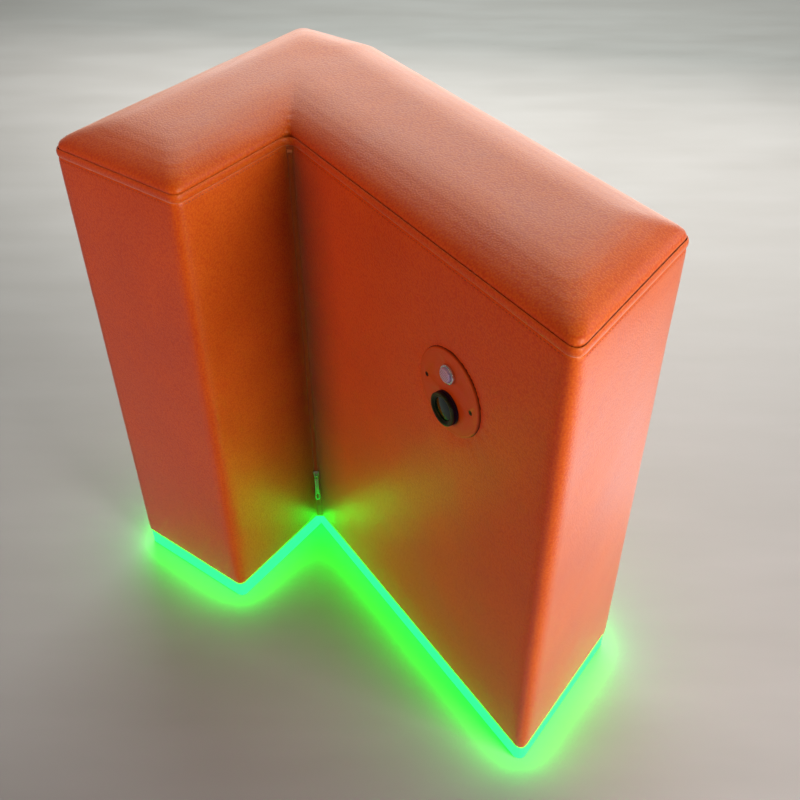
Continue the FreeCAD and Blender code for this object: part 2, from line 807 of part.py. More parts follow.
def build_plate():
    """Build the round control plate with its gasket, screws, spacers and inserts."""
    gasket = new_body("plate_gasket")
    outer = Circle("0", "0", "plate_radius + gasket_proud")
    inner = Circle("0", "0", "plate_radius - gasket_width")
    holes = [Circle(place, "0", "screw_radius + fit_gap") for place in ("-screw_offset", "screw_offset")]
    add_prism(gasket, "gasket_pad", [outer, inner], "0", "gasket_height")
    plate = new_body("control_plate")
    disc = add_prism(plate, "plate_disc", [Circle("0", "0", "plate_radius")], "gasket_height", "plate_top")
    rim = [edge for edge in numbered_edges(plate) if is_rim(plate, edge)]
    bevel = plate.newObject("PartDesign::Chamfer", "plate_rim")
    bevel.Base = (disc, rim)
    bind(bevel, "Size", "plate_bevel")
    DOC.recompute()
    lens_hole = Circle("0", "-lens_drop", "lens_back_radius + fit_gap")
    button_hole = Circle("0", "button_rise", "shank_radius + fit_gap")
    heads = [Circle(place, "0", "screw_head_radius") for place in ("-screw_offset", "screw_offset")]
    cut_prism(plate, "plate_holes", [lens_hole, button_hole] + holes, "gasket_height", "plate_top")
    cut_prism(plate, "head_recesses", heads, "plate_top - screw_head_height", "plate_top")
    screws = []
    spacers = []
    inserts = []
    for side, place in (("left", "-screw_offset"), ("right", "screw_offset")):
        screws.append(plate_screw(side))
        sleeve = [
            Circle("0", "0", "spacer_radius - fit_gap"),
            Circle("0", "0", "screw_radius + fit_gap"),
        ]
        spacer = new_body("spacer_" + side)
        add_prism(spacer, "spacer_pad_" + side, sleeve, "-board_inset", "gasket_height")
        insert = new_body("insert_" + side)
        add_prism(insert, "insert_pad_" + side, sleeve, "-room_inset", "-board_inset")
        spacers.append(spacer)
        inserts.append(insert)
        for piece in (screws[-1], spacer, insert):
            on_face(piece, "cd", "plate_along + (%s)" % place, "plate_z")
    on_face(gasket, "cd", "plate_along", "plate_z")
    on_face(plate, "cd", "plate_along", "plate_z")
    DOC.recompute()
    rows = [group("plate_screws", screws), group("plate_spacers", spacers), group("plate_inserts", inserts)]
    return [gasket, plate] + rows


def numbered_edges(body):
    """Return the names of a body's edges."""
    return ["Edge%d" % number for number in range(1, len(body.Shape.Edges) + 1)]


def is_rim(body, name):
    """Tell whether an edge is the top circle of the control plate."""
    edge = body.Shape.getElement(name)
    flat = abs(edge.BoundBox.ZMin - value("plate_top")) < value("fit_gap")
    return edge.Closed and flat and edge.BoundBox.ZLength < value("fit_gap")


def plate_screw(side):
    """Build one flush screw with a hexagon socket."""
    screw = new_body("screw_" + side)
    low = "plate_top - screw_length"
    add_prism(screw, "screw_shank_" + side, [Circle("0", "0", "screw_radius")], low, "plate_top")
    head = Circle("0", "0", "screw_head_radius - fit_gap")
    add_prism(screw, "screw_head_" + side, [head], "plate_top - screw_head_height", "plate_top")
    corners = 6
    points = []
    for corner in range(corners):
        turn = 360 * corner / corners
        points.append(("socket_radius * cos(%g)" % turn, "socket_radius * sin(%g)" % turn))
    cut_prism(screw, "screw_socket_" + side, [Loop(points)], "plate_top - socket_depth", "plate_top")
    return screw


def build_camera():
    """Build the camera behind the plate and the lens in front of it."""
    middle = ("0", "-lens_drop")
    barrel = new_body("lens_barrel")
    rings = (
        ("tail", "lens_back_radius", "lens_back", "plate_top"),
        ("flange", "lens_radius", "plate_top", "lens_flange_top"),
        ("tube", "lens_tube_radius", "lens_flange_top", "rim_low"),
    )
    for name, radius, low, high in rings:
        add_prism(barrel, "barrel_" + name, [Circle(*middle, radius)], low, high)
    cut_prism(barrel, "barrel_bore", [Circle(*middle, "lens_bore")], "lens_back", "glass_low")
    cut_prism(barrel, "glass_seat", [Circle(*middle, "rim_bore")], "glass_low", "rim_low")
    focus = new_body("focus_ring")
    sleeve = [Circle(*middle, "lens_radius"), Circle(*middle, "lens_tube_radius + running_gap")]
    add_prism(focus, "focus_pad", sleeve, "ring_low", "ring_high")
    rim = new_body("lens_rim")
    hoop = [Circle(*middle, "lens_radius"), Circle(*middle, "rim_bore")]
    add_prism(rim, "rim_pad", hoop, "rim_low", "rim_high")
    glass = new_body("lens_glass")
    add_prism(glass, "glass_pad", [Circle(*middle, "rim_bore - fit_gap")], "glass_low", "glass_high")
    lenses = []
    for number, place in enumerate(("lens_back / 3", "lens_back * 2 / 3")):
        lens = new_body("inner_lens_%d" % number)
        cell = Circle(*middle, "lens_bore - fit_gap")
        add_prism(lens, "inner_lens_pad_%d" % number, [cell], place, "%s + inner_lens_thickness" % place)
        on_face(lens, "cd", "plate_along", "plate_z")
        lenses.append(lens)
    camera = new_body("camera_body")
    half = "camera_width / 2"
    tall = "camera_height / 2"
    case = rectangle("-" + half, half, "-lens_drop - %s" % tall, "-lens_drop + %s" % tall)
    add_prism(camera, "camera_pad", [case], "lens_back - camera_depth", "lens_back")
    for piece in (barrel, focus, rim, glass, camera):
        on_face(piece, "cd", "plate_along", "plate_z")
    DOC.recompute()
    fixings = [camera_bracket(), lens_lock_ring()]
    return [barrel, focus, rim, glass, group("inner_lenses", lenses), camera] + fixings


def camera_bracket():
    """Build the folded bracket: a flange behind the plate and a shelf under the camera."""
    bracket = new_body("camera_bracket")
    half = "opening_width / 2 - bracket_margin"
    tall = "opening_height / 2 - bracket_margin"
    back = "gasket_height - bracket_thickness"
    flange = rectangle("-(%s)" % half, half, "-(%s)" % tall, tall)
    holes = [
        Circle("0", "-lens_drop", "lens_back_radius + fit_gap"),
        Circle("0", "button_rise", "shank_radius + fit_gap"),
    ]
    add_prism(bracket, "bracket_flange", [flange] + holes, back, "gasket_height")
    shelf_top = "-lens_drop - camera_height / 2"
    shelf = rectangle("-(%s)" % half, half, "-(%s)" % tall, shelf_top)
    add_prism(bracket, "bracket_shelf", [shelf], "lens_back - camera_depth", back)
    on_face(bracket, "cd", "plate_along", "plate_z")
    return bracket


def lens_lock_ring():
    """Build the ring that clamps the lens to the plate from behind."""
    ring = new_body("lens_lock_ring")
    back = "gasket_height - bracket_thickness"
    middle = ("0", "-lens_drop")
    sleeve = [Circle(*middle, "lens_radius"), Circle(*middle, "lens_back_radius + fit_gap")]
    add_prism(ring, "lock_ring_pad", sleeve, "%s - nut_height" % back, back)
    on_face(ring, "cd", "plate_along", "plate_z")
    return ring


def build_button():
    """Build the sprung shutter button above the lens."""
    middle = ("0", "button_rise")
    bezel = new_body("button_bezel")
    bore = Circle(*middle, "cap_radius + running_gap")
    add_prism(bezel, "bezel_shank", [Circle(*middle, "shank_radius")], "shank_back", "plate_top")
    add_prism(bezel, "bezel_flange", [Circle(*middle, "button_radius")], "plate_top", "bezel_top")
    cut_prism(bezel, "bezel_bore", [bore], "bore_back", "bezel_top")
    stem_hole = Circle(*middle, "stem_radius + running_gap")
    cut_prism(bezel, "bezel_stem_hole", [stem_hole], "shank_back", "bore_back")
    cap = new_body("button_cap")
    add_prism(cap, "cap_head", [Circle(*middle, "cap_radius")], "cap_bottom", "cap_top")
    add_prism(cap, "cap_stem", [Circle(*middle, "stem_radius")], "stem_back", "cap_bottom")
    clip = new_body("button_clip")
    clip_low = "shank_back - clip_thickness - side_gap"
    collar = [Circle(*middle, "clip_radius"), Circle(*middle, "stem_radius")]
    add_prism(clip, "clip_pad", collar, clip_low, "%s + clip_thickness" % clip_low)
    nut = new_body("button_nut")
    back = "gasket_height - bracket_thickness"
    thread = [Circle(*middle, "button_radius"), Circle(*middle, "shank_radius + fit_gap")]
    add_prism(nut, "nut_pad", thread, "%s - nut_height" % back, back)
    switch = new_body("button_switch")
    half = "micro_width / 2"
    tall = "micro_height / 2"
    block = rectangle("-" + half, half, "button_rise - %s" % tall, "button_rise + %s" % tall)
    switch_top = "stem_back - cap_travel - side_gap"
    add_prism(switch, "switch_pad", [block], "%s - micro_depth" % switch_top, switch_top)
    strut = rectangle("-" + half, half, "button_rise + %s - clip_thickness" % tall, "button_rise + %s" % tall)
    add_prism(switch, "switch_bracket", [strut], switch_top, "shank_back")
    for piece in (bezel, cap, clip, nut, switch):
        on_face(piece, "cd", "plate_along", "plate_z")
    return [bezel, cap, clip, nut, switch, button_spring()]


def button_spring():
    """Build the coil spring between the cap and the back of the bezel's bore."""
    path = DOC.addObject("Part::Helix", "Spring_path")
    bind(path, "Pitch", "spring_pitch")
    bind(path, "Height", "cap_bottom - bore_back - 2 * spring_wire")
    bind(path, "Radius", "spring_radius")
    path.SegmentLength = 1
    wire = DOC.addObject("Part::Circle", "Spring_wire")
    bind(wire, "Radius", "spring_wire - fit_gap")
    bind(wire, "Placement", "placement(vector(spring_radius; 0; 0); rotation(0; 0; 90))")
    DOC.recompute()
    spring = DOC.addObject("Part::Sweep", "Spring_sweep")
    spring.Sections = [wire]
    spring.Spine = (path, numbered_edges(path))
    spring.Solid = True
    spring.Frenet = True
    spring.Label = "button_spring"
    start = at_corner("c", "0")
    point = off_face(along_face(start, "cd", "plate_along"), "cd", "bore_back + spring_wire")
    text = "placement(vector(%s; %s; plate_z + button_rise); rotation(angle_cd; 0; 90))" % point
    bind(spring, "Placement", text)
    DOC.recompute()
    return spring


def build_power():
    """Build the power switch, the cable gland and the boxes that they feed."""
    middle = "corner_face / 2"
    frame = new_body("power_switch_frame")
    half = "switch_width / 2"
    tall = "switch_height / 2"
    flange = rectangle("-" + half, half, "-" + tall, tall)
    body_half = "%s - switch_lip - fit_gap" % half
    body_tall = "%s - switch_lip - fit_gap" % tall
    case = rectangle("-(%s)" % body_half, body_half, "-(%s)" % body_tall, body_tall)
    room_half = "%s - switch_wall" % body_half
    room_tall = "%s - switch_wall" % body_tall
    room = rectangle("-(%s)" % room_half, room_half, "-(%s)" % room_tall, room_tall)
    add_prism(frame, "frame_case", [case], "-switch_depth", "0")
    add_prism(frame, "frame_flange", [flange], "0", "switch_flange")
    cut_prism(frame, "frame_room", [room], "-switch_depth / 2", "switch_flange")
    pin = "rocker_pin_radius + running_gap"
    pin_hole = Circle("0", "-rocker_pivot_depth", pin)
    cut_prism(frame, "frame_pin_holes", [pin_hole], "-(%s)" % body_half, body_half, "YZ_Plane")
    on_face(frame, "fg", middle + " + switch_offset", "power_z")

    rocker = new_body("power_rocker")
    rock_half = "%s - side_gap" % room_half
    crown = "%s - rocker_tip" % room_tall
    profile = [
        ("-(%s)" % crown, "rocker_tip"),
        ("-rocker_root / 2", "-rocker_root"),
        ("rocker_root / 2", "-rocker_root"),
        (crown, "rocker_tip"),
        ("0", "switch_flange"),
    ]
    add_prism(rocker, "rocker_key", [Loop(profile)], "-(%s)" % rock_half, rock_half, "YZ_Plane")
    axle = Circle("0", "-rocker_pivot_depth", "rocker_pin_radius")
    reach = "%s - side_gap" % body_half
    add_prism(rocker, "rocker_axle", [axle], "-(%s)" % reach, reach, "YZ_Plane")
    on_face(rocker, "fg", middle + " + switch_offset", "power_z")

    gland = new_body("cable_gland")
    gland_back = "-room_inset - gland_tail"
    add_prism(gland, "gland_shank", [Circle("0", "0", "gland_shank_radius - fit_gap")], gland_back, "0")
    add_prism(gland, "gland_dome", [Circle("0", "0", "gland_radius")], "0", "gland_head")
    cut_prism(gland, "gland_bore", [Circle("0", "0", "gland_bore")], gland_back, "gland_head")
    nut = new_body("gland_nut")
    thread = [Circle("0", "0", "gland_radius"), Circle("0", "0", "gland_shank_radius")]
    add_prism(nut, "gland_nut_pad", thread, "-room_inset - gland_nut_height", "-room_inset")
    for piece in (gland, nut):
        on_face(piece, "fg", middle + " + gland_offset", "power_z")

    controller = carcass_box("controller", "controller_length", "controller_width", "controller_height")
    on_plan(controller, *along_wall("cd", "controller_offset", "controller_width"), "cabin_z", "angle_cd")
    supply = carcass_box("power_supply", "supply_length", "supply_width", "supply_height")
    on_plan(supply, *along_wall("bc", "supply_offset", "supply_width"), "cabin_z", "angle_bc")
    return [frame, rocker, gland, nut, controller, supply]


def along_wall(face, along, depth):
    """Return where a box stands with its long side along a wall, inside the room."""
    start = at_corner(face[0], "0")
    return off_face(along_face(start, face, along), face, "-(room_inset + post_size + (%s) / 2)" % depth)


def carcass_box(label, length, depth, height):
    """Build an equipment box with a stepped lid, centred on its own base."""
    box = new_body(label)
    case = rectangle("-(%s) / 2" % length, "(%s) / 2" % length, "-(%s) / 2" % depth, "(%s) / 2" % depth)
    lid = rectangle(
        "-(%s) / 2 + box_lid" % length,
        "(%s) / 2 - box_lid" % length,
        "-(%s) / 2 + box_lid" % depth,
        "(%s) / 2 - box_lid" % depth,
    )
    add_prism(box, label + "_case", [case], "0", "(%s) - box_lid" % height)
    add_prism(box, label + "_lid", [lid], "(%s) - box_lid" % height, height)
    return box


def check(nodes):
    """Stop with a plain message if any object failed or any node has no valid solid."""
    for item in DOC.Objects:
        if "Invalid" in item.State or "Error" in item.State:
            raise RuntimeError("%s did not recompute" % item.Label)
    for node in nodes:
        if node.Shape.isNull() or not node.Shape.isValid() or not node.Shape.Solids:
            raise RuntimeError("%s has no valid solid" % node.Label)
        if node.Shape.Volume <= 0:
            raise RuntimeError("%s is inside out" % node.Label)


def main():
    """Build every piece, check it and write one file for each node."""
    fill_sheet()
    nodes = build_base() + build_carcass() + build_walls() + build_cover() + build_zip()
    nodes += build_plate() + build_camera() + build_button() + build_power()
    DOC.recompute()
    check(nodes)
    os.makedirs("parts", exist_ok=True)
    for node in nodes:
        node.Shape.exportStep("parts/%s.step" % node.Label)
    print(len(nodes), "nodes written")


main()
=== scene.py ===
"""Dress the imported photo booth: leather upholstery, zip, control plate, lens, button and light band.

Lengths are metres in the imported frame: +Z is up and the V of the plan opens towards -Y.
"""
import json
import logging
import math
from contextlib import contextmanager
from dataclasses import dataclass
from enum import Enum
from typing import Callable, Iterator, Sequence

import bmesh
import bpy
import numpy as np
from mathutils import Matrix, Vector, noise

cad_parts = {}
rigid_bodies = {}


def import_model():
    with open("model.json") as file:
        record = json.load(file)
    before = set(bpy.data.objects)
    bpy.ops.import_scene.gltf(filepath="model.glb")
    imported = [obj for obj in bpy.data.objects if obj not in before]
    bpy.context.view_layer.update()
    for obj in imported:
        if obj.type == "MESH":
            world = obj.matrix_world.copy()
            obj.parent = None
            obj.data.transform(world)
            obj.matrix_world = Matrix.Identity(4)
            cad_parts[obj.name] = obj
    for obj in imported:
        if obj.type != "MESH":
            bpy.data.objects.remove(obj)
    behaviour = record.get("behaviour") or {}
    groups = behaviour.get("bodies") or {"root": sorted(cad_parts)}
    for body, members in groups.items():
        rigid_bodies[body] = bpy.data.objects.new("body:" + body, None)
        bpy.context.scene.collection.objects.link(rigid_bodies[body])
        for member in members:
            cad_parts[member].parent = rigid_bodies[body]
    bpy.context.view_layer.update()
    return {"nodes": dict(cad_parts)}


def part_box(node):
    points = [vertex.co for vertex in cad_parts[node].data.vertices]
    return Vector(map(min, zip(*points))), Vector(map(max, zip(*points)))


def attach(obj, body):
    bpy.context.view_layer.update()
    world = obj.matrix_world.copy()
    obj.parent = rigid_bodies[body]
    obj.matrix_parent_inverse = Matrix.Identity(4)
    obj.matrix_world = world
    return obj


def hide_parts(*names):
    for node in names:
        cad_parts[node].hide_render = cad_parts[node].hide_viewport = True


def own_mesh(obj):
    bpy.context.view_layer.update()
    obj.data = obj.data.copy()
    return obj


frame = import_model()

LOG = logging.getLogger("photo_booth")
MM = 0.001
TOUCHING = 1e-6
CORNERS = "abcdefg"
FACES = ("ab", "bc", "cd", "de", "ef", "fg", "ga")
NODES = frame["nodes"]
BOOTH = "booth"


# ---------------------------------------------------------------- modelling tools


def activate(piece: bpy.types.Object) -> None:
    """Select one piece alone and make it active."""
    bpy.ops.object.select_all(action="DESELECT")
    piece.select_set(True)
    bpy.context.view_layer.objects.active = piece


def added(name: str) -> bpy.types.Object:
    """Name the primitive that was just added and return it."""
    piece = bpy.context.active_object
    piece.name = name
    piece.data.name = name
    return piece


def primitive(kind: str, name: str, **settings: object) -> bpy.types.Object:
    """Add one of Blender's primitives, with nothing else selected, and name it.

    Args:
        kind: The primitive, such as cube or cylinder.
        name: The piece's name.
        settings: The operator's own settings.

    Returns:
        The new piece.
    """
    bpy.ops.object.select_all(action="DESELECT")
    getattr(bpy.ops.mesh, f"primitive_{kind}_add")(**settings)
    return added(name)


def twin_of(node: str, name: str, merge: float) -> bpy.types.Object:
    """Copy a CAD node's mesh as a new piece and merge its loose triangles.

    Args:
        node: The CAD node.
        name: The new piece's name.
        merge: How near two points are to become one.

    Returns:
        The copy.
    """
    piece = bpy.data.objects.new(name, NODES[node].data.copy())
    bpy.context.scene.collection.objects.link(piece)
    with editing(piece):
        select_everything()
        bpy.ops.mesh.remove_doubles(threshold=merge)
    return piece


@contextmanager
def editing(piece: bpy.types.Object) -> Iterator[None]:
    """Keep a piece in edit mode for the length of a with block."""
    activate(piece)
    bpy.ops.object.mode_set(mode="EDIT")
    yield
    bpy.ops.object.mode_set(mode="OBJECT")


def choose(piece: bpy.types.Object, kind: str, test: Callable[..., bool]) -> None:
    """Select, in edit mode, the elements that a test accepts.

    Args:
        piece: The piece being edited.
        kind: VERT, EDGE or FACE.
        test: Takes one bmesh element.
    """
    bpy.ops.mesh.select_mode(type=kind)
    bpy.ops.mesh.select_all(action="DESELECT")
    mesh = bmesh.from_edit_mesh(piece.data)
    for item in {"VERT": mesh.verts, "EDGE": mesh.edges, "FACE": mesh.faces}[kind]:
        if test(item):
            item.select_set(True)
    mesh.select_flush_mode()
    bmesh.update_edit_mesh(piece.data)


def select_everything() -> None:
    """Select the whole mesh, in edit mode."""
    bpy.ops.mesh.select_all(action="SELECT")


def face_out() -> None:
    """Turn every face outwards, in edit mode."""
    select_everything()
    bpy.ops.mesh.normals_make_consistent(inside=False)


def stretch(size: Sequence[float], about: Sequence[float] = (0, 0, 0)) -> None:
    """Scale what is selected about a point, in edit mode."""
    bpy.ops.transform.resize(value=size, center_override=about)


def shift(move: Sequence[float]) -> None:
    """Move what is selected, in edit mode."""
    bpy.ops.transform.translate(value=move)


def slice_level(height: float) -> None:
    """Cut the whole mesh with a level plane, in edit mode."""
    select_everything()
    bpy.ops.mesh.bisect(plane_co=(0, 0, height), plane_no=(0, 0, 1))


def middle(item: bmesh.types.BMEdge | bmesh.types.BMFace) -> Vector:
    """Return the mean of an edge's or a face's corners."""
    return sum((vertex.co for vertex in item.verts), Vector()) / len(item.verts)


def is_upright(edge: bmesh.types.BMEdge) -> bool:
    """Tell whether an edge runs along Z."""
    run = edge.verts[1].co - edge.verts[0].co
    return abs(run.z) > 0.9 * run.length


def add_modifier(piece: bpy.types.Object, kind: str, **settings: object) -> None:
    """Add a modifier with its settings and apply it.

    Args:
        piece: The piece it shapes.
        kind: Blender's name for the modifier.
        settings: Its properties by name.
    """
    activate(piece)
    modifier = piece.modifiers.new(kind.title(), kind)
    for key, setting in settings.items():
        setattr(modifier, key, setting)
    bpy.ops.object.modifier_apply(modifier=modifier.name)


def round_edges(piece: bpy.types.Object, width: float, segments: int, degrees: float = 30) -> None:
    """Bevel the edges that are sharper than an angle."""
    limit = math.radians(degrees)
    sizes = {"width": width, "segments": segments, "angle_limit": limit}
    add_modifier(piece, "BEVEL", limit_method="ANGLE", **sizes)


def smooth(piece: bpy.types.Object, degrees: float = 35) -> None:
    """Shade a piece smooth, except over edges sharper than an angle."""
    activate(piece)
    bpy.ops.object.shade_smooth_by_angle(angle=math.radians(degrees))


def settle(piece: bpy.types.Object, matrix: Matrix) -> None:
    """Move a piece by a matrix and leave the place in its mesh."""
    activate(piece)
    piece.matrix_world = matrix
    bpy.ops.object.transform_apply(location=True, rotation=True, scale=True)


def finished(piece: bpy.types.Object, place: Matrix, degrees: float) -> bpy.types.Object:
    """Put a piece in its place, shade it smooth and return it."""
    settle(piece, place)
    smooth(piece, degrees)
    return piece


def cut_away(piece: bpy.types.Object, tool: bpy.types.Object) -> None:
    """Cut a tool's shape out of a piece and delete the tool."""
    add_modifier(piece, "BOOLEAN", operation="DIFFERENCE", object=tool, solver="EXACT")
    bpy.data.objects.remove(tool)


def join(first: bpy.types.Object, others: Sequence[bpy.types.Object]) -> None:
    """Join other pieces into the first one."""
    activate(first)
    for piece in others:
        piece.select_set(True)
    bpy.ops.object.join()


def copies(piece: bpy.types.Object, places: Sequence[Matrix], name: str) -> bpy.types.Object:
    """Repeat a small piece at many places and join the copies.

    Args:
        piece: The pattern, which is used up.
        places: One matrix for each copy.
        name: The name of the joined piece.

    Returns:
        One piece that holds every copy.
    """
    made = []
    for place in places:
        twin = piece.copy()
        twin.data = piece.data.copy()
        twin.data.transform(place)
        bpy.context.scene.collection.objects.link(twin)
        made.append(twin)
    bpy.data.objects.remove(piece)
    join(made[0], made[1:])
    return added(name)


def outline_piece(
    name: str, points: Sequence[Vector], low: float, filled: bool = False
) -> bpy.types.Object:
    """Start a piece from a ring of vertices, each moved to its corner of an outline.

    Args:
        name: The piece's name.
        points: The corners in plan, in order.
        low: Their height.
        filled: Whether the ring has a face.

    Returns:
        The flat piece.
    """
    kind = "NGON" if filled else "NOTHING"
    piece = primitive("circle", name, vertices=len(points), radius=1, fill_type=kind)
    with editing(piece):
        for index, point in enumerate(points):
            choose(piece, "VERT", lambda vertex: vertex.index == index)
            start = bmesh.from_edit_mesh(piece.data).verts
            start.ensure_lookup_table()
            move = Vector((point[0], point[1], low)) - start[index].co
            shift(move)
    return piece


def extrude(move: Sequence[float]) -> None:
    """Extrude what is selected, in edit mode, and move it."""
    bpy.ops.mesh.extrude_region_move(TRANSFORM_OT_translate={"value": tuple(move)})


def turned(name: str, profile: Sequence[tuple[float, float]], sides: int = 96) -> bpy.types.Object:
    """Build a turned part round the local Z axis, ring by ring.

    Args:
        name: The piece's name.
        profile: Radius and height of each ring. Radius 0 closes an end, and a last ring
            equal to the first closes a hoop.
        sides: The number of sides of each ring.

    Returns:
        The part, at the origin.
    """
    rings = [(radius, height) for radius, height in profile if radius > 0]

    def on_rim(vertex: bmesh.types.BMVert) -> bool:
        """Tell whether a vertex lies on the first ring."""
        return abs(vertex.co.xy.length - rings[0][0]) < TOUCHING

    piece = primitive("circle", name, vertices=sides, radius=rings[0][0], fill_type="NOTHING")
    with editing(piece):
        select_everything()
        shift((0, 0, rings[0][1]))
        if profile[0][0] == 0:
            bpy.ops.mesh.edge_face_add()
            bpy.ops.mesh.inset(thickness=rings[0][0] * 0.5, depth=profile[0][1] - rings[0][1])
            choose(piece, "EDGE", lambda edge: all(on_rim(vertex) for vertex in edge.verts))
        for (radius, height), (next_radius, next_height) in zip(rings, rings[1:]):
            extrude((0, 0, next_height - height))
            share = next_radius / radius
            stretch((share, share, 1), (0, 0, next_height))
        if profile[-1][0] == 0:
            bpy.ops.mesh.edge_face_add()
        select_everything()
        bpy.ops.mesh.remove_doubles(threshold=TOUCHING)
        bpy.ops.mesh.normals_make_consistent(inside=False)
    return piece


def turns_of(count: int) -> list[Matrix]:
    """Return the matrices that repeat a piece evenly round the Z axis."""
    return [Matrix.Rotation(2 * math.pi * number / count, 4, "Z") for number in range(count)]


def in_mm(profile: Sequence[tuple[float, float]]) -> list[tuple[float, float]]:
    """Turn a turned part's radii and heights from millimetres to metres."""
    return [(radius * MM, height * MM) for radius, height in profile]


def mesh_points(piece: bpy.types.Object) -> np.ndarray:
    """Return the coordinates of a piece's vertices as an array."""
    points = np.empty(len(piece.data.vertices) * 3)
    piece.data.vertices.foreach_get("co", points)
    return points.reshape(-1, 3)


def set_points(piece: bpy.types.Object, points: np.ndarray) -> None:
    """Write an array of coordinates back to a piece's vertices."""
    piece.data.vertices.foreach_set("co", points.ravel())
    piece.data.update()


def evened(piece: bpy.types.Object, moves: np.ndarray, rounds: int) -> np.ndarray:
    """Average each point's move with its neighbours' moves, so that no wrinkle stays.

    Args:
        piece: The mesh object whose edges say which points are neighbours.
        moves: One move for each point.
        rounds: How many times the moves are averaged.

    Returns:
        The averaged moves.
    """
    ends = np.empty(len(piece.data.edges) * 2, dtype=np.int32)
    piece.data.edges.foreach_get("vertices", ends)
    ends = ends.reshape(-1, 2)
    count = len(moves)
    neighbours = np.bincount(ends.ravel(), minlength=count)[:, None]
    for _ in range(rounds):
        total = np.zeros_like(moves)
        for near, far in ((0, 1), (1, 0)):
            for axis in range(3):
                total[:, axis] += np.bincount(ends[:, near], moves[ends[:, far], axis], count)
        moves = (moves + total / neighbours) / 2
    return moves


def vertex_normals(piece: bpy.types.Object) -> np.ndarray:
    """Return the normals of a piece's vertices as an array."""
    normals = np.empty(len(piece.data.vertices) * 3)
    piece.data.vertex_normals.foreach_get("vector", normals)
    return normals.reshape(-1, 3)


# ---------------------------------------------------------------- finishes


def linear(text: str, alpha: float = 1.0) -> tuple[float, float, float, float]:
    """Turn an sRGB hex colour into linear red, green, blue and alpha."""
    parts = [int(text[start : start + 2], 16) / 255 for start in (1, 3, 5)]
    red, green, blue = (p / 12.92 if p <= 0.04045 else ((p + 0.055) / 1.055) ** 2.4 for p in parts)
    return red, green, blue, alpha


def new_material(
    name: str,
) -> tuple[bpy.types.Material, bpy.types.NodeTree, bpy.types.Node]:
    """Start a material with nodes and return it with its tree and its shader."""
    made = bpy.data.materials.new(name)
    made.use_nodes = True
    return made, made.node_tree, made.node_tree.nodes["Principled BSDF"]


def add_node(
    tree: bpy.types.NodeTree, kind: str, links: dict | None = None, **settings: object
) -> bpy.types.Node:
    """Add one node with its settings, socket values and links.

    Args:
        tree: The material's node tree.
        kind: Blender's node type.
        links: A socket or a constant for each input, by its name or number.
        settings: Properties of the node itself.

    Returns:
        The node.
    """
    node = tree.nodes.new(kind)
    for key, setting in settings.items():
        setattr(node, key, setting)
    for key, source in (links or {}).items():
        if isinstance(source, bpy.types.NodeSocket):
            tree.links.new(source, node.inputs[key])
        else:
            node.inputs[key].default_value = source
    return node


class Pattern(Enum):
    """The kinds of fine surface structure that a hard finish can have."""

    CAST = "fine dimples of a moulded or painted surface"
    BRUSHED = "fine parallel lines"
    SPANGLE = "flat crystals of galvanised steel"
    FOAM = "open cells"
    WOOD = "long grain"
    WOVEN = "over and under threads"


